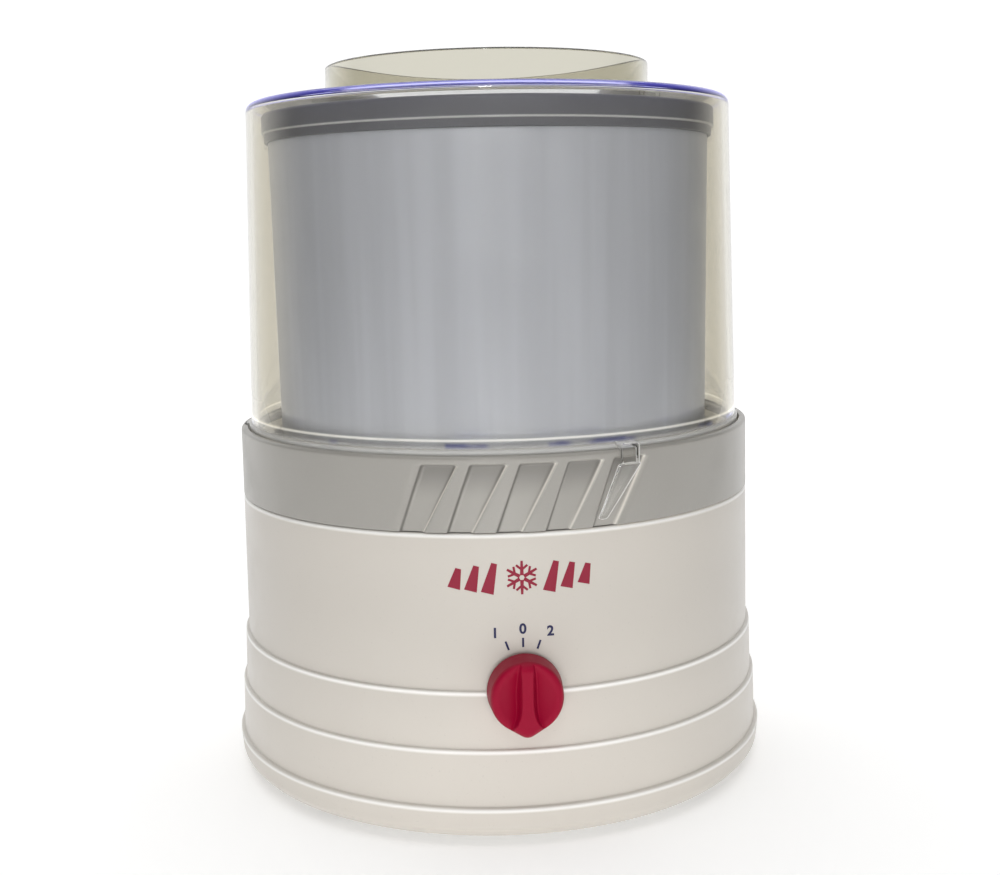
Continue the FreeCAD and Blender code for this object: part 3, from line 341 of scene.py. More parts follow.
def shade(tone, factor):
    # A tone times a factor.
    return (tone[0] * factor, tone[1] * factor, tone[2] * factor, 1.0)


def mouldedPlastic(name, tone, rough, grain, paintedHighlight=None, **constants):
    # Moulded plastic: faint flow clouds, small specks, a spark-eroded grain and handling smudges. An optional painted
    #     # highlight is a pale line painted at a height and with a width, standing in for light caught on an edge.
    f = Finish(name)
    clouds = f.noise(38, 2)
    specks = f.ramp(f.noise(0.9, 1), 0.68, 0.74)
    base = f.mixed(clouds, shade(tone, 0.95), shade(tone, 1.05))
    base = f.mixed(specks * 0.16, base, shade(tone, 0.62))
    if paintedHighlight:
        base = f.mixed(f.level(paintedHighlight[0], paintedHighlight[1]) * paintedHighlight[2], base, (0.75, 0.75, 0.74, 1))
    smudges = f.ramp(f.noise(16, 4, 0.65), 0.45, 0.75)
    roughness = smudges * 0.10 + f.noise(4, 2) * 0.05 + (rough - 0.05)
    texture = f.noise(0.32, 2, 0.6)
    ripple = f.bump(f.noise(22, 1), 0.05, 0.35)
    normal = f.bump(texture, 0.018 * grain, 0.7, ripple)
    return f.surface(base, roughness, normal, **constants)


def housingPlastic(name, tone, settings):
    # Warm white shell: the moulded grain plus dust that has settled in the seams and on the ledges. It is painted
    #     # lighter towards its foot, standing in for light bounced off the floor, and its step edges carry painted
    #     highlights.
    f = Finish(name)
    clouds = f.noise(55, 2)
    # Painted light: lighter towards the foot and darker towards the top, standing in for light bounced up off the
    # floor.
    height = f.rise(*settings["paintedFloorBounce"])
    base = f.mixed(clouds * 0.22 + height * 0.78, shade(tone, 1.13), shade(tone, 0.90))
    specks = f.ramp(f.noise(0.8, 1), 0.70, 0.76)
    base = f.mixed(specks * 0.15, base, shade(tone, 0.6))
    patches = f.noise(9, 4, 0.6)
    lines = sum(f.level(ledge + 0.25, 0.8) for ledge in settings["ledges"])
    base = f.mixed(lines * patches * 0.22, base, shade(tone, 0.52))
    # The rounded edge of each step, and the shell's top edge, are painted paler: painted highlights where they catch
    # the light.
    for ledge in settings["ledges"]:
        base = f.mixed(f.level(ledge - 0.75, 1.15), base, settings["paintedHighlight"])
    low = f.rise(16, 4)
    base = f.mixed(low * patches * 0.12, base, shade(tone, 0.6))
    smudges = f.ramp(f.noise(20, 4, 0.65), 0.42, 0.72)
    roughness = smudges * 0.09 + f.noise(5, 2) * 0.05 + (settings["rough"] - 0.05)
    ripple = f.bump(f.noise(30, 1), 0.06, 0.3)
    normal = f.bump(f.noise(0.3, 2, 0.6), 0.008, 0.7, ripple)
    return f.surface(base, roughness, normal, Coat_Weight=0.15, Coat_Roughness=0.12)


def silverPlastic(name, tone, rough, flake, streaks, metallic):
    # Plastic with aluminium powder in it: tiny glinting flakes, and flow streaks drawn out along Z that also stand in
    #     # for painted vertical reflection bands.
    f = Finish(name)
    tint = f.cells(flake)
    flowStreaksAndReflections = f.ramp(f.noise(10, 3, 0.55, f.stretched((1, 1, 0.03))), 0.32, 0.68)
    clouds = f.noise(60, 2)
    base = f.mixed(flowStreaksAndReflections * streaks + clouds * (1 - streaks), shade(tone, 0.93), shade(tone, 1.06))
    base = f.mixed(f.ramp(tint, 0.80, 0.97) * 0.35, base, shade(tone, 1.35))
    smudges = f.ramp(f.noise(18, 4, 0.6), 0.45, 0.75)
    roughness = smudges * 0.10 + tint * 0.06 + (rough - 0.06)
    normal = f.bump(f.noise(0.35, 2), 0.008, 0.6, f.bump(flowStreaksAndReflections, 0.04, 0.25))
    return f.surface(base, roughness, normal, Metallic=metallic, Coat_Weight=0.12, Coat_Roughness=0.15)


def groovedPlastic(name, tone, s):
    # Silver plastic with slanted grooves, found by depth = outer radius - radius. Painted shade darkens a groove's top
    # and
    #     # painted light brightens its foot; its turned edges carry a painted highlight where they face left and
    #     painted shade
    #     # where they face right.
    f = Finish(name)
    tint = f.cells(0.16)
    clouds = f.noise(60, 2)
    base = f.mixed(clouds, shade(tone, 0.94), shade(tone, 1.05))
    base = f.mixed(f.ramp(tint, 0.80, 0.97) * 0.35, base, shade(tone, 1.35))
    below = f.rise(s["top"] + 0.3, s["top"] - 0.5)
    depth = (s["outer"] * mm - f.radius()) / mm
    front = f.ramp(f.y, -40 * mm, -60 * mm) * below
    high = f.rise(s["foot"] * 0.55 + s["top"] * 0.45, s["top"])
    inside = f.ramp(depth, 0.5, 1.2) * front
    # Painted shade at a groove's top and painted light at its foot.
    base = f.mixed(inside, base, f.mixed(high, shade(tone, s["paintedGrooveFootLight"]), shade(tone, s["paintedGrooveTopShade"])))
    turned = f.band(depth, 0.75, 0.85) * front
    across = f.parts(f.normal)[0] - f.x / (s["outer"] * mm)
    # Painted highlight on edges that face left, towards the light, and painted shade on edges that face right.
    base = f.mixed(turned * f.ramp(across, -0.05, -0.25), base, shade(tone, s["paintedLitEdge"]))
    base = f.mixed(turned * f.ramp(across, 0.05, 0.25), base, shade(tone, s["paintedShadedEdge"]))
    smudges = f.ramp(f.noise(18, 4, 0.6), 0.45, 0.75)
    roughness = smudges * 0.10 + tint * 0.06 + 0.30
    normal = f.bump(f.noise(0.35, 2), 0.008, 0.6)
    return f.surface(base, roughness, normal, Metallic=0.2, Coat_Weight=0.12, Coat_Roughness=0.15)


def clearPlastic(name, s):
    # Clear styrene: faint flow waves, hairline scratches and a dusting of fine haze. Its top shoulder and its bead are
    #     # painted with a blue reflection, the shoulder also with a painted glow; a thin line above the bead glows as a
    #     painted
    #     # glint, and the foot band is painted milky as a highlight. A piece can turn milky where its surface leans
    #     away, a
    #     # painted highlight on its edges. Lamps shine through it.
    f = Finish(name)
    scratches = f.noise(0.7, 2, 0.5, f.stretched((1, 1, 0.04)))
    waves = f.noise(26, 1, 0.4, f.stretched((1, 1, 0.35)))
    haze = f.ramp(f.noise(12, 4, 0.65), 0.5, 0.8)
    normal = f.bump(f.ramp(scratches, 0.70, 0.76), 0.004, 0.5, f.bump(waves, 0.05, 0.5))
    outside = f.ramp(f.radius(), 89.5 * mm, 91.0 * mm)
    # Painted reflection: a blue line with a painted glow on the top shoulder, and blue patches on the bead.
    shoulder = f.level(*s["shoulder"]) * outside
    patches = f.ramp(f.noise(17, 1, 0.4, f.stretched((1, 1, 0.05))), 0.53, 0.60)
    bead = f.level(*s["bead"]) * outside * patches
    aslant = Wire(f.tree, f.add("ShaderNodeLayerWeight", Blend=0.5).outputs["Facing"])
    collar = f.rise(s["collar"], s["collar"] + 1)
    lean = f.ramp(aslant, 0.28, 0.66)
    body = f.mixed(collar, f.mixed(lean, s["tint"], s["sideTint"]), s["collarTint"])
    tint = f.mixed(shoulder + bead, body, s["paintedEdgeReflection"])
    # Painted glint: a thin line that glows, standing in for a highlight.
    glint = f.level(*s["glint"]) * outside
    glow = f.mixed(shoulder, f.mixed(glint, black, s["paintedGlintGlow"]), s["paintedEdgeGlow"])
    clear = f.shader(Base_Color=tint, Roughness=haze * 0.02 + s["rough"], Normal=normal, Emission_Color=glow,
                     Emission_Strength=1.0, Transmission_Weight=1.0, IOR=s["bend"])
    milky = f.add("ShaderNodeBsdfDiffuse", Color=s["milk"])
    # Painted highlight: a piece turns milky where its surface leans away, as much as its setting asks, standing in for
    # light on its bevelled edges.
    paintedEdgeLightMask = f.ramp(aslant, 0.25, 0.50) * f.ramp(aslant, 0.95, 0.80) * s["paintedEdgeLight"]
    # Painted highlight: the foot band is turned milky to lighten it.
    paintedFootHighlight = f.level(*s["foot"]) * outside * 0.55
    solid = f.joined(paintedEdgeLightMask + paintedFootHighlight, clear, milky)
    lampRay = f.add("ShaderNodeLightPath").outputs["Is Shadow Ray"]
    through = f.add("ShaderNodeBsdfTransparent", Color=s["lampTint"])
    return f.done(f.joined(lampRay, solid, through))


def bareMetal(name, tone, rough, grain, size=0.5):
    # Plain or brushed metal: fine lines along one axis, dull patches and a few rubbed marks.
    f = Finish(name)
    lines = f.noise(size, 3, 0.6, f.stretched(grain))
    patches = f.noise(7, 3, 0.6)
    base = f.mixed(lines * 0.5 + patches * 0.5, shade(tone, 0.86), shade(tone, 1.10))
    rubbed = f.ramp(patches, 0.60, 0.72)
    roughness = lines * 0.12 + rubbed * 0.10 + (rough - 0.06)
    return f.surface(base, roughness, f.bump(lines, 0.012, 0.6), Metallic=1.0)


def spunMetal(name, tone):
    # Anodised aluminium turned on a lathe: rings round the axis on the floor, fine bands up the wall.
    f = Finish(name)
    rings = f.noise(0.5, 3, 0.6, f.add("ShaderNodeCombineXYZ", X=f.radius(), Z=f.z).outputs[0])
    patches = f.noise(25, 3, 0.6)
    base = f.mixed(rings * 0.6 + patches * 0.4, shade(tone, 0.90), shade(tone, 1.08))
    roughness = rings * 0.14 + f.ramp(patches, 0.5, 0.8) * 0.10 + 0.22
    return f.surface(base, roughness, f.bump(rings, 0.01, 0.6), Metallic=1.0)


def layeredSteel(name, tone):
    # A pack of thin pressed sheets: one dark joint each half millimetre, with rust-blue varnish patches.
    f = Finish(name)
    sheet = f.z.maths("FRACT", f.z / (0.5 * mm))
    joint = f.band(sheet, 0.5, 0.22)
    patches = f.noise(6, 4, 0.6)
    base = f.mixed(patches, shade(tone, 0.8), shade(tone, 1.15))
    base = f.mixed(joint * 0.7, base, shade(tone, 0.25))
    roughness = patches * 0.2 + joint * 0.1 + 0.35
    return f.surface(base, roughness, f.bump(1.0 - joint, 0.06, 0.7), Metallic=0.85)


def woundWire(name, tone):
    # Enamelled copper turns lying side by side across the bobbin.
    f = Finish(name)
    turn = f.x.maths("FRACT", f.x / (0.6 * mm))
    crown = 1.0 - abs(turn - 0.5) * 2.0
    patches = f.noise(5, 3)
    # Painted highlight and shade: each turn is painted lighter on its crown and darker towards the gaps between turns.
    base = f.mixed(patches * 0.5 + crown * 0.5, shade(tone, 0.45), shade(tone, 1.15))
    return f.surface(base, patches * 0.12 + 0.22, f.bump(crown ** 0.5, 0.18, 0.9), Metallic=0.8, Coat_Weight=0.6,
                     Coat_Roughness=0.1)


def dullRubber(name, tone):
    # Rubber: matt, slightly pitted, paler where it has rubbed.
    f = Finish(name)
    pits = f.noise(0.6, 3, 0.6)
    rubbed = f.ramp(f.noise(6, 4, 0.6), 0.52, 0.72)
    base = f.mixed(rubbed * 0.35, tone, shade(tone, 1.9))
    return f.surface(base, rubbed * 0.12 + pits * 0.1 + 0.62, f.bump(pits, 0.03, 0.6), Specular_IOR_Level=0.3)


def softGel(name, tone):
    # Cloudy gel that light sinks a little way into.
    f = Finish(name)
    clouds = f.noise(14, 3)
    base = f.mixed(clouds, shade(tone, 0.85), shade(tone, 1.1))
    return f.surface(base, clouds * 0.15 + 0.2, f.bump(clouds, 0.3, 0.4), Subsurface_Weight=0.3,
                     Subsurface_Scale=0.004)


def printInk(name, tone):
    # Pad-printed ink: slightly uneven cover with soft worn spots.
    f = Finish(name)
    cover = f.noise(0.5, 3, 0.6)
    base = f.mixed(f.ramp(cover, 0.62, 0.78) * 0.3, tone, shade(tone, 1.8))
    return f.surface(base, cover * 0.15 + 0.32, f.bump(cover, 0.01, 0.5))


white = colour(209, 203, 194)
black = (0, 0, 0, 1)
lidPlastic = {
    "tint": (0.985, 0.985, 0.985, 1),
    "sideTint": (0.49, 0.45, 0.34, 1),
    "collarTint": (0.68, 0.66, 0.57, 1),
    "paintedEdgeReflection": (0.34, 0.36, 0.72, 1),
    "lampTint": (0.94, 0.94, 0.92, 1),
    "milk": (0.86, 0.85, 0.83, 1),
    "paintedEdgeGlow": (0.060, 0.055, 0.40, 1),
    "paintedGlintGlow": (0.30, 0.29, 0.26, 1),
    "collar": lidHigh[2] - 13.2,
    "shoulder": (lidHigh[2] - 14.2, 2.3),
    "bead": (ringHigh[2] + 2.6, 1.5),
    "glint": (ringHigh[2] + 4.4, 0.6),
    "foot": (ringHigh[2] - 0.2, 3.4),
    "rough": 0.015,
    "bend": 1.49,
    "paintedEdgeLight": 0.0,
}
finishes = {
    "housing": housingPlastic("housingPlastic", white, {
        "ledges": (108.0, 54.0, 34.0, 14.0), "paintedHighlight": (0.97, 0.955, 0.92, 1), "rough": 0.34, "paintedFloorBounce": (15.0, 85.0)}),
    "ring": groovedPlastic("ringPlastic", colour(161, 158, 152), {
        "outer": ringHigh[0], "top": ringHigh[2] - 3.0, "foot": ringLow[2] + 5.0, "paintedGrooveTopShade": 0.66, "paintedGrooveFootLight": 1.06,
        "paintedLitEdge": 2.5, "paintedShadedEdge": 0.5}),
    "shell": silverPlastic("bowlPlastic", colour(204, 206, 212), 0.38, 0.18, 0.75, 0.36),
    # The rim gets a pale line painted along its step: a painted highlight.
    "rim": mouldedPlastic("rimPlastic", colour(102, 102, 106), 0.40, 0.4, paintedHighlight=(rimLow[2] + 3.3, 0.55, 0.85)),
    "deck": mouldedPlastic("deckPlastic", colour(214, 208, 194), 0.40, 0.4),
    "lid": clearPlastic("clearPlastic", lidPlastic),
    # The tab's and the strap's leaning edges are painted milky as highlights.
    "tab": clearPlastic("tabPlasticPaintedEdges", lidPlastic | {"paintedEdgeLight": 1.0}),
    "strap": clearPlastic("strapPlastic", lidPlastic | {
        "bend": 1.04, "paintedEdgeLight": 0.9, "sideTint": (0.97, 0.97, 0.97, 1), "foot": (0, 1)}),
    "knob": mouldedPlastic("knobPlastic", colour(150, 2, 44), 0.46, 0.35, Specular_IOR_Level=0.2),
    "plate": mouldedPlastic("platePlastic", colour(206, 203, 196), 0.50, 1.6),
    "paddle": mouldedPlastic("paddlePlastic", colour(232, 231, 226), 0.36, 0.5, Subsurface_Weight=0.15,
                             Subsurface_Scale=0.003),
    "liner": spunMetal("linerAluminium", (0.80, 0.81, 0.83, 1)),
    "gel": softGel("coolantGel", colour(150, 190, 225)),
    "foot": dullRubber("footRubber", colour(42, 42, 46)),
    "gland": mouldedPlastic("glandRubber", colour(196, 192, 184), 0.55, 1.2),
    "nylon": mouldedPlastic("gearNylon", colour(232, 226, 206), 0.42, 0.6, Subsurface_Weight=0.1,
                            Subsurface_Scale=0.002),
    "case": mouldedPlastic("casePlastic", colour(58, 58, 62), 0.48, 1.6),
    "switch": mouldedPlastic("switchPlastic", colour(34, 34, 38), 0.40, 0.8),
    "steel": bareMetal("plainSteel", (0.62, 0.62, 0.63, 1), 0.30, (1, 1, 0.08)),
    "lamination": layeredSteel("laminationSteel", (0.36, 0.37, 0.40, 1)),
    "copper": woundWire("windingCopper", (0.72, 0.32, 0.14, 1)),
    "bobbin": mouldedPlastic("bobbinPlastic", colour(224, 218, 200), 0.5, 0.8),
    "bronze": bareMetal("bushBronze", (0.58, 0.42, 0.22, 1), 0.42, (1, 1, 1), 0.25),
    "fan": mouldedPlastic("fanPlastic", colour(48, 48, 52), 0.45, 0.8),
    "redInk": printInk("redInk", colour(140, 3, 44)),
    "navyInk": printInk("navyInk", colour(20, 22, 74)),
}
print("finishes:", len(finishes))


lidShape = {
    "neckHeight": 13.5,
    "neckOut": 61.8,
    "neckWall": 2.0,
    "wall": 2.4,
    "topRadius": 92.0,
    "footRadius": 95.2,
    "bead": 0.9,
    "beadHeight": 4.0,
    "shoulder": 3.0,
    "footGap": 0.4,
}


def makeLid(s):
    # The lid's section turned about Z: a leaning wall with a bead at its foot, a flat top and a feed collar.
    top = lidHigh[2] - s["neckHeight"]
    under = top - s["wall"]
    foot = deckHigh[2] + s["footGap"]
    beadOut = s["footRadius"] + s["bead"]
    neckIn = s["neckOut"] - s["neckWall"]
    path = roundedPath([
        (s["footRadius"] - s["wall"], foot, 0.6),
        (beadOut, foot, 0.9),
        (beadOut, foot + s["beadHeight"], 0.9),
        (s["footRadius"], foot + s["beadHeight"] + 0.3, 0.3),
        (s["topRadius"], top, s["shoulder"]),
        (s["neckOut"], top, 1.2),
        (s["neckOut"], top + s["neckHeight"], 0.8),
        (neckIn, top + s["neckHeight"], 0.8),
        (neckIn, under, 0.6),
        (s["topRadius"] - s["wall"], under, 1.2),
    ], 8)
    lid = lathePiece("lidShell", path, 360)
    place(lid, "lid", "clear_plastic", finishes["lid"], "lid")
    return under, foot, beadOut


lidUnder, lidFoot, beadOut = makeLid(lidShape)

ribShape = {"length": 6.0, "height": 8.5, "thick": 3.0, "innerGap": 3.0}
keyShape = {"angles": (90.0, 180.0, 270.0), "spread": 5.0, "out": 1.3, "height": 2.8}


def makeLidRibs(s):
    # Four ribs under the lid: two each side hold a paddle lug between them.
    ribX = lidShape["neckOut"] - lidShape["neckWall"] + 0.6 + s["length"] / 2
    for side in (-1, 1):
        for across in (-1, 1):
            middle = (side * ribX, across * (s["innerGap"] + s["thick"] / 2), lidUnder - s["height"] / 2 + 0.2)
            rib = softBlock(f"lidRib{'Left' if side < 0 else 'Right'}{'Front' if across < 0 else 'Back'}", middle,
                            (s["length"], s["thick"], s["height"]))
            place(rib, "lid", "clear_plastic", finishes["lid"])


def makeLidKeys(s):
    # Small keys on the bead that drop into the ring's notches.
    for turn in s["angles"]:
        a = math.radians(turn)
        r = beadOut + s["out"] / 2 - 0.3
        width = math.radians(s["spread"]) * beadOut
        key = softBlock(f"lidKey{int(turn)}", (r * math.sin(a), -r * math.cos(a), lidFoot + 1.6),
                        (width, s["out"] + 0.6, s["height"]), a)
        place(key, "lid", "clear_plastic", finishes["lid"])


makeLidRibs(ribShape)
makeLidKeys(keyShape)

tabShape = {
    "topAngle": 22.2,
    "footAngle": 15.9,
    "topWidth": 9.0,
    "footWidth": 3.0,
    "topDrop": 4.5,
    "gap": 0.35,
    "thick": 2.0,
    "bridge": 1.8,
    "strapWidth": 6.0,
    "squareness": 3.4,
}


def makeLidTab(s):
    # A leaning wedge outside the ring. Its section is (|cos|^p + |sin|^p)^(-1/p) out from the middle, and it narrows
    # and swings evenly from top to foot.
    down = np.linspace(0, 1, 48)[:, None]
    around = np.linspace(0, 2 * np.pi, 64, endpoint=False)[None, :]
    topZ, footZ = ringHigh[2] - s["topDrop"], lidLow[2]
    ease = np.minimum(1, np.minimum(down, 1 - down) / 0.04)
    ends = np.sqrt(1 - (1 - ease) ** 2)
    width = (s["topWidth"] + (s["footWidth"] - s["topWidth"]) * down) * (0.25 + 0.75 * ends)
    p = s["squareness"]
    square = (np.abs(np.cos(around)) ** p + np.abs(np.sin(around)) ** p) ** (-1 / p)
    inner = ringHigh[0] + s["gap"]
    out = inner + s["thick"] / 2 + square * np.sin(around) * s["thick"] / 2 * (0.3 + 0.7 * ends)
    lean = np.radians(s["topAngle"] + (s["footAngle"] - s["topAngle"]) * down)
    angle = lean + square * np.cos(around) * width / 2 / out
    wedge = cappedTube("lidTab", aroundZ(out, angle, topZ + (footZ - topZ) * down))
    place(wedge, "lid", "clear_plastic", finishes["tab"])


def makeTabStrap(s):
    # The strap that joins the wedge to the lid's foot: an outline in (r, z) carried a few degrees round.
    r0 = ringHigh[0] + s["gap"]
    r1 = r0 + s["thick"]
    strapZ = ringHigh[2] + s["gap"]
    low = ringHigh[2] - s["topDrop"] - 0.6
    path = roundedPath([
        (lidShape["footRadius"] + 0.1, strapZ, 0.3), (r0, strapZ, 0.5), (r0, low, 0.2), (r1, low, 0.2),
        (r1, strapZ + s["bridge"], 1.6), (lidShape["footRadius"] + 0.1, strapZ + s["bridge"], 0.3),
    ], 5)
    half = math.degrees(s["strapWidth"] / 2 / r1)
    angle = np.radians(s["topAngle"] + np.linspace(-half, half, 12))
    sheet = aroundZ(path[:, 0][:, None], angle, path[:, 1][:, None])
    strap = cappedTube("lidTabStrap", sheet.transpose(1, 0, 2))
    place(strap, "lid", "clear_plastic", finishes["strap"])


makeLidTab(tabShape)
makeTabStrap(tabShape)
print("lid")


bowlShape = {"wall": 2.0, "footRound": 5.0, "flare": 1.0, "socket": 13.0, "skirtHeight": 3.0, "rimStep": 0.8,
             "flange": 12.0}


def makeBowl(s):
    # The shell's and the rim's sections turned about Z. The shell leans out by flare from foot to top.
    topR, footZ, topZ = shellHigh[0], shellLow[2], shellHigh[2]
    footR = topR - s["flare"]
    shell = roundedPath([
        (s["socket"], footZ, 0.3), (footR, footZ, s["footRound"]), (topR, topZ, 0.3), (topR - s["wall"], topZ, 0.3),
        (footR - s["wall"], footZ + s["wall"], s["footRound"] - s["wall"]), (s["socket"], footZ + s["wall"], 0.3),
    ], 8)
    place(lathePiece("bowlShell", splitRuns(shell, 12), 360), "bowl", "bowl_shell_plastic", finishes["shell"],
          "bowl_outer_shell")
    rimR, rimZ, low = rimHigh[0], rimHigh[2], rimLow[2]
    innerR = linerHigh[0] - s["flange"]
    rim = roundedPath([
        (innerR, topZ + 0.05, 0.2), (topR + 0.25, topZ + 0.05, 0.2), (topR + 0.25, low, 0.2),
        (rimR - s["rimStep"], low, 0.5), (rimR - s["rimStep"], low + s["skirtHeight"], 0.2),
        (rimR, low + s["skirtHeight"] + 0.5, 0.35), (rimR, rimZ, 1.4), (innerR, rimZ, 1.6),
    ], 7)
    place(lathePiece("bowlRim", rim, 360), "bowl", "rim_plastic", finishes["rim"], "bowl_rim")
    return innerR


linerTop = makeBowl(bowlShape)

linerShape = {"wall": 1.2, "draft": 2.0, "corner": 10.0, "pipRadius": 6.0, "pipHeight": 8.0}


def makeLiner(s):
    # A tapering cup turned about Z, with a flange over the rim and a round pip on its floor.
    under, top = linerLow[2], linerHigh[2]
    flangeR = linerTop + bowlShape["flange"]
    floorZ, floorR = under + s["wall"], linerTop - s["draft"]
    path = roundedPath([
        (0, under, 0), (floorR + s["wall"], under, s["corner"] + s["wall"]),
        (linerTop + s["wall"], top - s["wall"], 0.3), (flangeR, top - s["wall"], 0.3), (flangeR, top, 0.3),
        (linerTop, top, 0.5),
        (floorR, floorZ, s["corner"]), (s["pipRadius"], floorZ, 0.8), (s["pipRadius"], floorZ + s["pipHeight"], 2.0),
        (0, floorZ + s["pipHeight"], 0),
    ], 10)
    place(lathePiece("bowlLiner", path, 288, True), "bowl", "liner_aluminium", finishes["liner"], "bowl_liner")


makeLiner(linerShape)
print("bowl")


grooveShape = {
    "count": 5,
    "pitch": 9.55,
    "topWidth": 6.8,
    "footWidth": 4.75,
    "topMiddle": 3.6,
    "footMiddle": -2.2,
    "topDrop": 3.0,
    "topDepth": 1.8,
    "footDepth": 1.3,
    "wallWidth": 1.5,
}
ringShape = {"lip": 2.6, "wall": 3.4, "draft": 0.2, "round": 2.2, "shelf": 7.0, "shelfThick": 2.5, "seam": 0.3,
             "spigot": 5.0, "spigotThick": 2.0}
notchShape = {"spread": 5.8, "depth": 1.1}


def makeRing(s, g):
    # The ring's section turned about Z. Points lie closer along the grooves, whose depth is taken off the radius:
    # r - depth * (1 - cos) / 2 across an edge, and the full depth between a groove's edges.
    top, low = ringHigh[2], seamZ + s["seam"]
    outR = ringHigh[0] - s["draft"]
    footR = ringHigh[0]
    lipR = outR - s["lip"]
    shelfZ = deckHigh[2] - 2.5
    spigotR = footR - 3.0 - 0.3
    corners = [
        (footR, low, 0.12), (outR, top, s["round"]), (lipR, top, 0.4), (lipR, shelfZ, 0.2),
        (lipR - s["shelf"], shelfZ, 0.2), (lipR - s["shelf"], shelfZ - s["shelfThick"], 0.2),
        (outR - s["wall"], shelfZ - s["shelfThick"], 0.2),
        (outR - s["wall"], low + 4.0, 0.2), (spigotR - s["spigotThick"], low + 2.0, 0.2),
        (spigotR - s["spigotThick"], low - s["spigot"], 0.2), (spigotR, low - s["spigot"], 0.2), (spigotR, low, 0.2),
    ]
    path = splitRuns(roundedPath(corners, 8), 0.45)
    # Lines that run down the groove edges: their angles change with height, so each edge stays crisp.
    topZ, footZ = top - g["topDrop"], low
    turn = ((np.arange(g["count"]) - (g["count"] - 1) / 2) * g["pitch"])[:, None]
    side = np.array([-0.5, 0.5])
    edges = np.stack([(turn + g["topMiddle"] + side * g["topWidth"]).ravel(),
                      (turn + g["footMiddle"] + side * g["footWidth"]).ravel()], -1)
    z = path[:, 1][:, None]
    share = np.clip((z - footZ) / (topZ - footZ), 0, 1)
    line = edges[:, 1] + (edges[:, 0] - edges[:, 1]) * share
    half = g["wallWidth"] / outR * 180 / math.pi / 2
    knots = np.stack([line - half, line + half], -1).reshape(len(path), -1)
    ends = 60.0
    knots = np.concatenate([np.full((len(path), 1), -ends), knots, np.full((len(path), 1), ends)], 1)
    steps = [24] + [5, 14] * (2 * g["count"])
    steps[-1] = 24
    columns, depths = [], []
    for k, count in enumerate(steps):
        t = np.arange(count) / count
        columns.append(knots[:, k:k + 1] + (knots[:, k + 1:k + 2] - knots[:, k:k + 1]) * t)
        wave = (1 - np.cos(np.pi * t)) / 2
        if k % 4 == 1:
            depths.append(wave)
        elif k % 4 == 3:
            depths.append(1 - wave)
        else:
            depths.append(np.full(count, 1.0 if k % 4 == 2 else 0.0))
    rest = np.linspace(ends, 360 - ends, 130, endpoint=False)
    columns.append(np.repeat(rest[None, :], len(path), 0))
    depths.append(np.zeros(len(rest)))
    angle = np.radians(np.concatenate(columns, 1))
    across = np.concatenate(depths)[None, :]
    outside = (path[:, 0] > spigotR + 1.5)[:, None] & (z <= topZ + 1.2) & (path[:, 0] > outR - 0.9)[:, None]
    fall = np.clip((topZ + 0.35 - z) / 0.7, 0, 1)
    depth = (g["footDepth"] + (g["topDepth"] - g["footDepth"]) * share) * fall * outside
    r = path[:, 0][:, None] - depth * across
    # Notches in the lip for the lid's keys.
    inLip = (np.abs(path[:, 0] - lipR)[:, None] < 0.5) & (z > shelfZ + 0.1)
    for turn in keyShape["angles"]:
        away = np.abs((np.degrees(angle) - turn + 180) % 360 - 180)
        r = r + notchShape["depth"] * inLip * np.clip((notchShape["spread"] / 2 - away) / 0.25, 0, 1)
    ring = meshPiece("ringShell", aroundZ(r, angle, z).reshape(-1, 3), gridFaces(*angle.shape), False)
    place(ring, "base", "ring_plastic", finishes["ring"], "base_ring")
    return lipR


lipR = makeRing(ringShape, grooveShape)

deckShape = {"wall": 2.5, "drop": 34.0, "gap": 2.8, "hole": 7.25, "edgeGap": 0.3}


def makeDeck(s):
    # The deck's tray turned about Z: a flat lip, a recess for the bowl and a hole for the spindle.
    top = deckHigh[2]
    floorZ = top - s["drop"]
    under = floorZ - s["wall"]
    recessR = shellHigh[0] + s["gap"]
    path = roundedPath([
        (s["hole"], under, 0.2), (recessR + s["wall"], under, 4.0), (recessR + s["wall"], top - s["wall"], 0.3),
        (lipR - s["edgeGap"], top - s["wall"], 0.2), (lipR - s["edgeGap"], top, 0.4), (recessR, top, 1.2),
        (recessR, floorZ, 2.0), (s["hole"], floorZ, 0.2),
    ], 7)
    place(lathePiece("deckTray", path, 288), "base", "deck_plastic", finishes["deck"], "bowl_deck")


makeDeck(deckShape)

housingShape = {
    "wall": 3.0,
    "topRound": 1.7,
    "ledges": (54.0, 34.0),
    "plinth": 14.0,
    "step": 1.25,
    "plinthStep": 1.6,
    "draft": 0.5,
    "bead": 1.15,
    "plinthRound": 1.5,
    "tuck": 3.6,
}


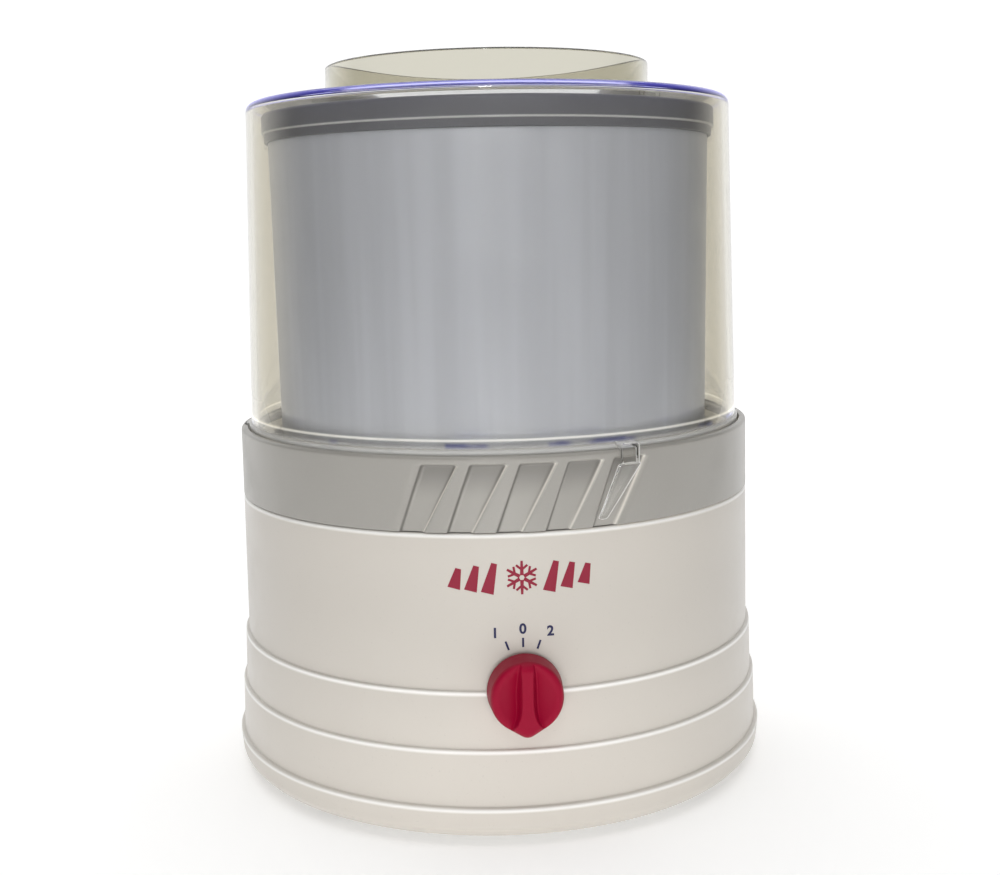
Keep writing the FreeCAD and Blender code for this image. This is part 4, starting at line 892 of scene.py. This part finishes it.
def makeHousing(s):
    # Three stepped, slightly leaning tiers over a plinth, turned about Z. The upper wall's radius at height z is
    # top radius + draft * (seam - z) / (seam - first ledge).
    topR = ringHigh[0]
    w = s["wall"]
    tier1 = topR + s["draft"]
    tier2Top, tier2Foot = tier1 + s["step"], tier1 + s["step"] + s["draft"]
    tier3Top, tier3Foot = tier2Foot + s["step"], tier2Foot + s["step"] + s["draft"]
    plinthR = tier3Foot + s["plinthStep"]
    foot = housingLow[2]
    ledge1, ledge2 = s["ledges"]
    path = roundedPath([
        (plinthR - s["tuck"], foot, 0.8), (plinthR - 0.7, foot + 3.2, 4.0), (plinthR, s["plinth"], s["plinthRound"]),
        (tier3Foot, s["plinth"] + 0.3, 0.3), (tier3Top, ledge2, s["bead"]), (tier2Foot, ledge2 + 0.15, 0.25),
        (tier2Top, ledge1, s["bead"]), (tier1, ledge1 + 0.15, 0.25), (topR, seamZ, s["topRound"]),
        (topR - w, seamZ, 0.2), (tier1 - w, ledge1 - w, 0.5), (tier3Foot - w, s["plinth"], 0.5),
        (tier3Foot - w, foot, 0.2),
    ], 7)
    place(lathePiece("housingShell", splitRuns(path, 8), 360), "base", "housing_plastic", finishes["housing"],
          "base_housing")
    return lambda z: topR + s["draft"] * (seamZ - z) / (seamZ - ledge1)


wallRadius = makeHousing(housingShape)


footShape = {"dish": 3.0, "dishDepth": 0.5, "lip": 2.6, "edge": 0.8, "collar": 1.2}


def makeFeet(s):
    # A dished rubber button turned about each foot's own axis.
    for node, name in (("foot_front_left", "footFrontLeft"), ("foot_front_right", "footFrontRight"),
                       ("foot_back_left", "footBackLeft"), ("foot_back_right", "footBackRight")):
        low, high = cadMm(node)
        middle, r = (low + high) / 2, (high[0] - low[0]) / 2
        path = roundedPath([
            (0, s["dishDepth"], 0), (r - s["dish"], s["dishDepth"], 0.2), (r - s["lip"], 0, 0.2),
            (r - s["edge"], 0, 0.6), (r, high[2] - s["collar"], 0.3), (r, high[2], 0.2), (0, high[2], 0),
        ], 5)
        foot = lathePiece(name, path, 72, True, middle[:2])
        place(foot, "base", "foot_rubber", finishes["foot"], node)


makeFeet(footShape)
print("base")


knobShape = {
    "radius": 12.8,
    "tip": 15.0,
    "taper": 0.5,
    "depth": 10.0,
    "edge": 3.2,
    "grip": 3.0,
    "scoopDepth": 4.6,
    "rim": 0.5,
    "flareTop": 0.6,
    "flareFoot": 5.0,
}
knobCentreZ = knobHigh[2] - knobShape["radius"]
knobBackY = knobHigh[1]


def teardrop(angle, radius, tip):
    # Distance to a circle drawn out to a point at angle 0: R / cos(reach - |a|) out to where it meets the circle.
    reach = math.acos(radius / (tip + 0.9))
    away = np.abs((angle + np.pi) % (2 * np.pi) - np.pi)
    point = radius / np.cos(np.maximum(reach - away, 0))
    return -np.log(np.exp(-point * 4) + math.exp(-tip * 4) * 0.35) / 4


def makeKnob(s):
    # Teardrop outlines from back to front, whose face sinks on both sides of the grip: depth - scoop * dish, where
    # dish is (1 - t)^1.1 and t runs from the grip to the rim.
    angle = np.linspace(0, 2 * np.pi, 256, endpoint=False)[None, :]
    frontR = s["radius"] - s["taper"]
    frontTip = frontR + (s["tip"] - s["radius"]) * 0.6
    backLine = teardrop(angle, s["radius"], s["tip"])
    frontLine = teardrop(angle, frontR, frontTip)
    # From the back's middle, out and round the side, over the rounded edge and in over the face.
    rise = np.linspace(0, 1, 24)[:, None]
    arc = np.linspace(0, np.pi / 2, 15)[1:, None]
    inward = np.linspace(1, 0, 90)[1:, None]
    edge = s["edge"]
    back = [backLine * k for k in (0.0, 0.35, 0.7, 0.96)]
    backDepth = [0 * angle for _ in range(4)]
    side = backLine + (frontLine - backLine) * rise
    sideDepth = (s["depth"] - edge) * rise + 0 * angle
    over = frontLine - edge * (1 - np.cos(arc))
    overDepth = s["depth"] - edge + edge * np.sin(arc) + 0 * angle
    front = np.concatenate([over, (frontLine - edge) * inward])
    flatDepth = np.concatenate([overDepth, np.full((len(inward), angle.shape[1]), s["depth"])])
    x, z = front * np.sin(angle), -front * np.cos(angle)
    keep = frontR - s["rim"]
    tall = np.clip(1 - (z / keep) ** 2, 0, 1)
    ridge = s["grip"] / 2 + np.where(z > 0, s["flareTop"], s["flareFoot"]) * np.clip(np.abs(z) / keep, 0, 1) ** 3
    outer = np.sqrt(np.clip(keep ** 2 - z ** 2, 0.01, None))
    t = np.clip((np.abs(x) - ridge) / np.maximum(outer - ridge, 0.3), 0, 1)
    dish = (1 - t) ** 1.1 * np.sin(np.pi / 2 * np.clip(t / 0.22, 0, 1)) ** 2
    line = np.concatenate([np.concatenate(back), side, front])
    depth = np.concatenate([np.concatenate(backDepth), sideDepth, flatDepth - s["scoopDepth"] * dish * tall ** 0.7])
    points = np.stack([line * np.sin(angle), knobBackY - depth, knobCentreZ - line * np.cos(angle)], -1)
    faces = gridFaces(len(points), points.shape[1], wrapRows=False)
    knob = meshPiece("selectorKnob", points.reshape(-1, 3), faces, True)
    place(knob, "knob", "knob_plastic", finishes["knob"], "selector_knob")


makeKnob(knobShape)
print("knob")


printLift = 0.05
printThick = 0.08
redInk = (finishes["redInk"], "knob_plastic")
navyInk = (finishes["navyInk"], "switch_plastic")


def wrapped(across, up, lift):
    # Flat points laid round the housing: the angle is across / r, and the height stays.
    r = wallRadius(up)
    return aroundZ(r + lift, across / r, up)


def printBar(name, middle, length, width, turn, ink, taper=1.0, count=8):
    # A strip of ink: a thin four-sided section carried from end to end, width * (1 + (taper - 1) t) at share t.
    t = np.linspace(0, 1, count + 1)[:, None]
    half = width / 2 * (1 + (taper - 1) * t) * np.array([-1, 1, 1, -1])
    along = (t - 0.5) * length
    across = middle[0] + along * math.cos(turn) - half * math.sin(turn)
    up = middle[1] + along * math.sin(turn) + half * math.cos(turn)
    sides = wrapped(across, up, np.array([-printThick, -printThick, printLift, printLift]))
    strip = cappedTube(name, sides)
    strip.data.polygons.foreach_set("use_smooth", np.zeros(len(strip.data.polygons), bool))
    place(strip, "base", ink[1], ink[0])


def printFigure(name, figure, at, size, ink):
    # A figure as a thin solid laid round the housing; its front stands printLift out and its back printThick in.
    text = bpy.data.curves.new(name, "FONT")
    text.body = figure
    text.size = size
    text.align_x = "CENTER"
    text.align_y = "CENTER"
    text.offset = 0.16
    text.extrude = 1.0
    holder = bpy.data.objects.new(name, text)
    bpy.context.scene.collection.objects.link(holder)
    bpy.context.view_layer.update()
    solid = bpy.data.meshes.new_from_object(holder)
    bpy.data.objects.remove(holder)
    spots = np.zeros(len(solid.vertices) * 3)
    solid.vertices.foreach_get("co", spots)
    spots = spots.reshape(-1, 3)
    lift = np.where(spots[:, 2] > 0, printLift, -printThick)
    solid.vertices.foreach_set("co", (wrapped(spots[:, 0] + at[0], spots[:, 1] + at[1], lift) * mm).ravel())
    solid.update()
    piece = bpy.data.objects.new(name, solid)
    bpy.context.scene.collection.objects.link(piece)
    place(piece, "base", ink[1], ink[0])


emblemShape = {"centreZ": 92.9, "arm": 5.75, "armWidth": 1.3, "twig": 2.3, "side": (10.4, 16.2, 22.0),
               "height": (10.5, 8.8, 7.0), "width": 4.4, "lean": 76.0, "narrow": 0.45, "hub": 0.4}


def makeEmblem(s):
    # A six-armed ice crystal with three slanted flakes each side. Arm k points 90 + 60 k degrees round.
    centre = np.array([0, s["centreZ"]])
    for k in range(6):
        turn = math.radians(90 + 60 * k)
        way = np.array([math.cos(turn), math.sin(turn)])
        arm = centre + way * (s["arm"] / 2 + s["hub"])
        printBar(f"emblemArm{k}", arm, s["arm"] - 2 * s["hub"], s["armWidth"], turn, redInk, 0.6)
        for lean, side in ((-1, "Left"), (1, "Right")):
            twig = centre + way * s["arm"] * 0.62 + lean * np.array([-way[1], way[0]]) * s["twig"] * 0.45
            printBar(f"emblemTwig{k}{side}", twig, s["twig"], s["armWidth"] * 0.6, turn + lean * math.radians(50),
                     redInk)
    for way, side in ((-1, "Left"), (1, "Right")):
        for n, (away, tall) in enumerate(zip(s["side"], s["height"])):
            printBar(f"emblemFlake{side}{n}", (way * away, s["centreZ"]), tall, s["width"],
                     math.radians(s["lean"]), redInk, s["narrow"])


dialShape = {"tickZ": 70.6, "tickLength": 3.2, "tickWidth": 0.7, "spread": 20.0, "figureZ": 75.2, "figureSize": 4.8,
             "figureSpread": 1.35}


def makeDial(s):
    # Three ticks about the knob's axis, and a figure over each.
    tickR = s["tickZ"] - knobCentreZ
    figureR = s["figureZ"] - knobCentreZ
    for n, (turn, figure) in enumerate(((-1, "1"), (0, "0"), (1, "2"))):
        a = math.radians(turn * s["spread"])
        tick = (tickR * math.sin(a), knobCentreZ + tickR * math.cos(a))
        printBar(f"dialTick{n}", tick, s["tickLength"], s["tickWidth"], math.pi / 2 - a, navyInk)
        at = (figureR * s["figureSpread"] * math.sin(a), knobCentreZ + figureR * math.cos(a))
        printFigure(f"dialFigure{n}", figure, at, s["figureSize"], navyInk)


makeEmblem(emblemShape)
makeDial(dialShape)
print("printing")


carried = {
    "paddle": ("mixing_paddle",),
    "gel": ("bowl_coolant",),
    "case": ("bowl_drive_socket", "drive_turntable", "gear_case", "gear_case_lid"),
    "plate": ("bottom_plate",),
    "gland": ("cord_gland",),
    "steel": ("bottom_plate_screws", "gear_case_screws", "first_gear_axle", "second_gear_axle", "motor_upper_bracket",
              "motor_lower_bracket", "motor_screws", "switch_shaft", "drive_spindle", "motor_shaft"),
    "bronze": ("upper_spindle_bush", "lower_spindle_bush"),
    "lamination": ("motor_stator", "motor_rotor"),
    "copper": ("motor_coil",),
    "bobbin": ("coil_bobbin_left", "coil_bobbin_right"),
    "switch": ("selector_switch",),
    "nylon": ("output_gear", "second_gear", "first_gear", "motor_pinion"),
    "fan": ("motor_fan",),
}
carriedShape = {"weld": 0.002, "split": 32.0}


def finishCarried(s):
    # Joins the loose triangles and smooths them, but keeps edges sharper than the split angle.
    for finish, nodes in carried.items():
        for node in nodes:
            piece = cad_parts[node]
            for index in range(max(1, len(piece.material_slots))):
                if piece.material_slots:
                    piece.material_slots[index].material = finishes[finish]
                else:
                    piece.data.materials.append(finishes[finish])
            piece.data.polygons.foreach_set("use_smooth", np.ones(len(piece.data.polygons), bool))
            weld = piece.modifiers.new("weld", "WELD")
            weld.merge_threshold = s["weld"] * mm
            split = piece.modifiers.new("split", "EDGE_SPLIT")
            split.split_angle = math.radians(s["split"])


finishCarried(carriedShape)
print("carried over:", sum(len(nodes) for nodes in carried.values()))


floorShape = {"floorSize": 2.6, "floorTone": 0.92, "near": 0.32, "far": 0.6, "edge": (120, 900)}


def makeFloor(s):
    # A pale sheet that glows more towards its far edge, so that it runs into the white room.
    half = s["floorSize"] / 2
    data = bpy.data.meshes.new("floor")
    data.from_pydata([(-half, -half, 0), (half, -half, 0), (half, half, 0), (-half, half, 0)], [], [(0, 1, 2, 3)])
    floor = bpy.data.objects.new("floor", data)
    bpy.context.scene.collection.objects.link(floor)
    f = Finish("floorPaper")
    tone = s["floorTone"]
    base = f.mixed(f.noise(300, 2), (tone, tone, tone, 1), (tone * 0.985, tone * 0.985, tone * 0.985, 1))
    spread = f.ramp(f.radius(), *[edge * mm for edge in s["edge"]])
    glow = f.mixed(spread, (s["near"],) * 3 + (1,), (s["far"],) * 3 + (1,))
    floor.data.materials.append(f.done(f.shader(Base_Color=base, Roughness=0.9, Specular_IOR_Level=0.1,
                                                Emission_Color=glow, Emission_Strength=1.0)))


lampShape = {
    "above": {"at": (0.0, 0.30, 1.6), "aim": (0, 0.25, 0), "size": 1.8, "watts": 14.0, "gloss": True},
    "fill": {"at": (-0.05, -0.75, 0.12), "aim": (0, 0, 0.10), "size": 0.30, "watts": 2.1, "gloss": False},
    "flash": {"at": (-0.06, -0.60, 0.47), "aim": (0, 0, 0.20), "size": 0.06, "watts": 0.30, "gloss": True},
}


def makeLamp(name, s):
    # A square lamp turned to face its aim.
    lamp = bpy.data.lights.new(name, "AREA")
    lamp.shape = "SQUARE"
    lamp.size = s["size"]
    lamp.energy = s["watts"]
    holder = bpy.data.objects.new(name, lamp)
    holder.location = s["at"]
    holder.rotation_euler = (Vector(s["aim"]) - Vector(s["at"])).to_track_quat("-Z", "Y").to_euler()
    holder.visible_transmission = False
    holder.visible_glossy = s["gloss"]
    bpy.context.scene.collection.objects.link(holder)


roomShape = {"front": 0.16, "back": 1.08, "edge": (0.22, 0.78)}


def makeRoom(s):
    # A studio that is white behind the object and greyer on the camera's side: front + (back - front) * ramp of y.
    world = bpy.data.worlds.new("room")
    bpy.context.scene.world = world
    world.use_nodes = True
    world.cycles.sampling_method = "NONE"
    nodes = Nodes(world.node_tree)
    way = nodes.add("ShaderNodeSeparateXYZ", Vector=nodes.add("ShaderNodeTexCoord").outputs["Generated"])
    bright = nodes.add("ShaderNodeMapRange", {"interpolation_type": "SMOOTHSTEP"}, Value=way.outputs[1],
                       From_Min=s["edge"][0], From_Max=s["edge"][1], To_Min=s["front"], To_Max=s["back"])
    glow = nodes.add("ShaderNodeBackground", Color=(1, 1, 1, 1), Strength=bright.outputs["Result"])
    nodes.add("ShaderNodeOutputWorld", Surface=glow.outputs[0])


cameraShape = {"azimuth": 4.8, "distance": 0.5363, "height": 0.2088, "pitch": 8.92, "yaw": 0.26, "roll": 1.15,
               "lens": 48.7}


def makeCamera(s):
    # Stands in front and a little to the left, looks down by pitch, and is tilted by roll.
    azimuth = math.radians(s["azimuth"])
    heading = math.radians(s["azimuth"] + s["yaw"])
    pitch, roll = math.radians(s["pitch"]), math.radians(s["roll"])
    ahead = Vector((math.cos(pitch) * math.sin(heading), math.cos(pitch) * math.cos(heading), -math.sin(pitch)))
    right = Vector((math.cos(heading), -math.sin(heading), 0))
    up = right.cross(ahead)
    tiltedUp = up * math.cos(roll) + right * math.sin(roll)
    tiltedRight = right * math.cos(roll) - up * math.sin(roll)
    lens = bpy.data.cameras.new("camera")
    lens.lens = s["lens"]
    lens.sensor_width = 36
    lens.sensor_fit = "HORIZONTAL"
    lens.clip_start = 0.01
    holder = bpy.data.objects.new("camera", lens)
    spot = Vector((-s["distance"] * math.sin(azimuth), -s["distance"] * math.cos(azimuth), s["height"]))
    holder.matrix_world = Matrix.Translation(spot) @ Matrix((tiltedRight, tiltedUp, -ahead)).transposed().to_4x4()
    bpy.context.scene.collection.objects.link(holder)
    bpy.context.scene.camera = holder


makeFloor(floorShape)
makeRoom(roomShape)
for lampName, lampSettings in lampShape.items():
    makeLamp(lampName, lampSettings)
makeCamera(cameraShape)
bpy.context.scene.view_settings.view_transform = "Standard"
print("stage")
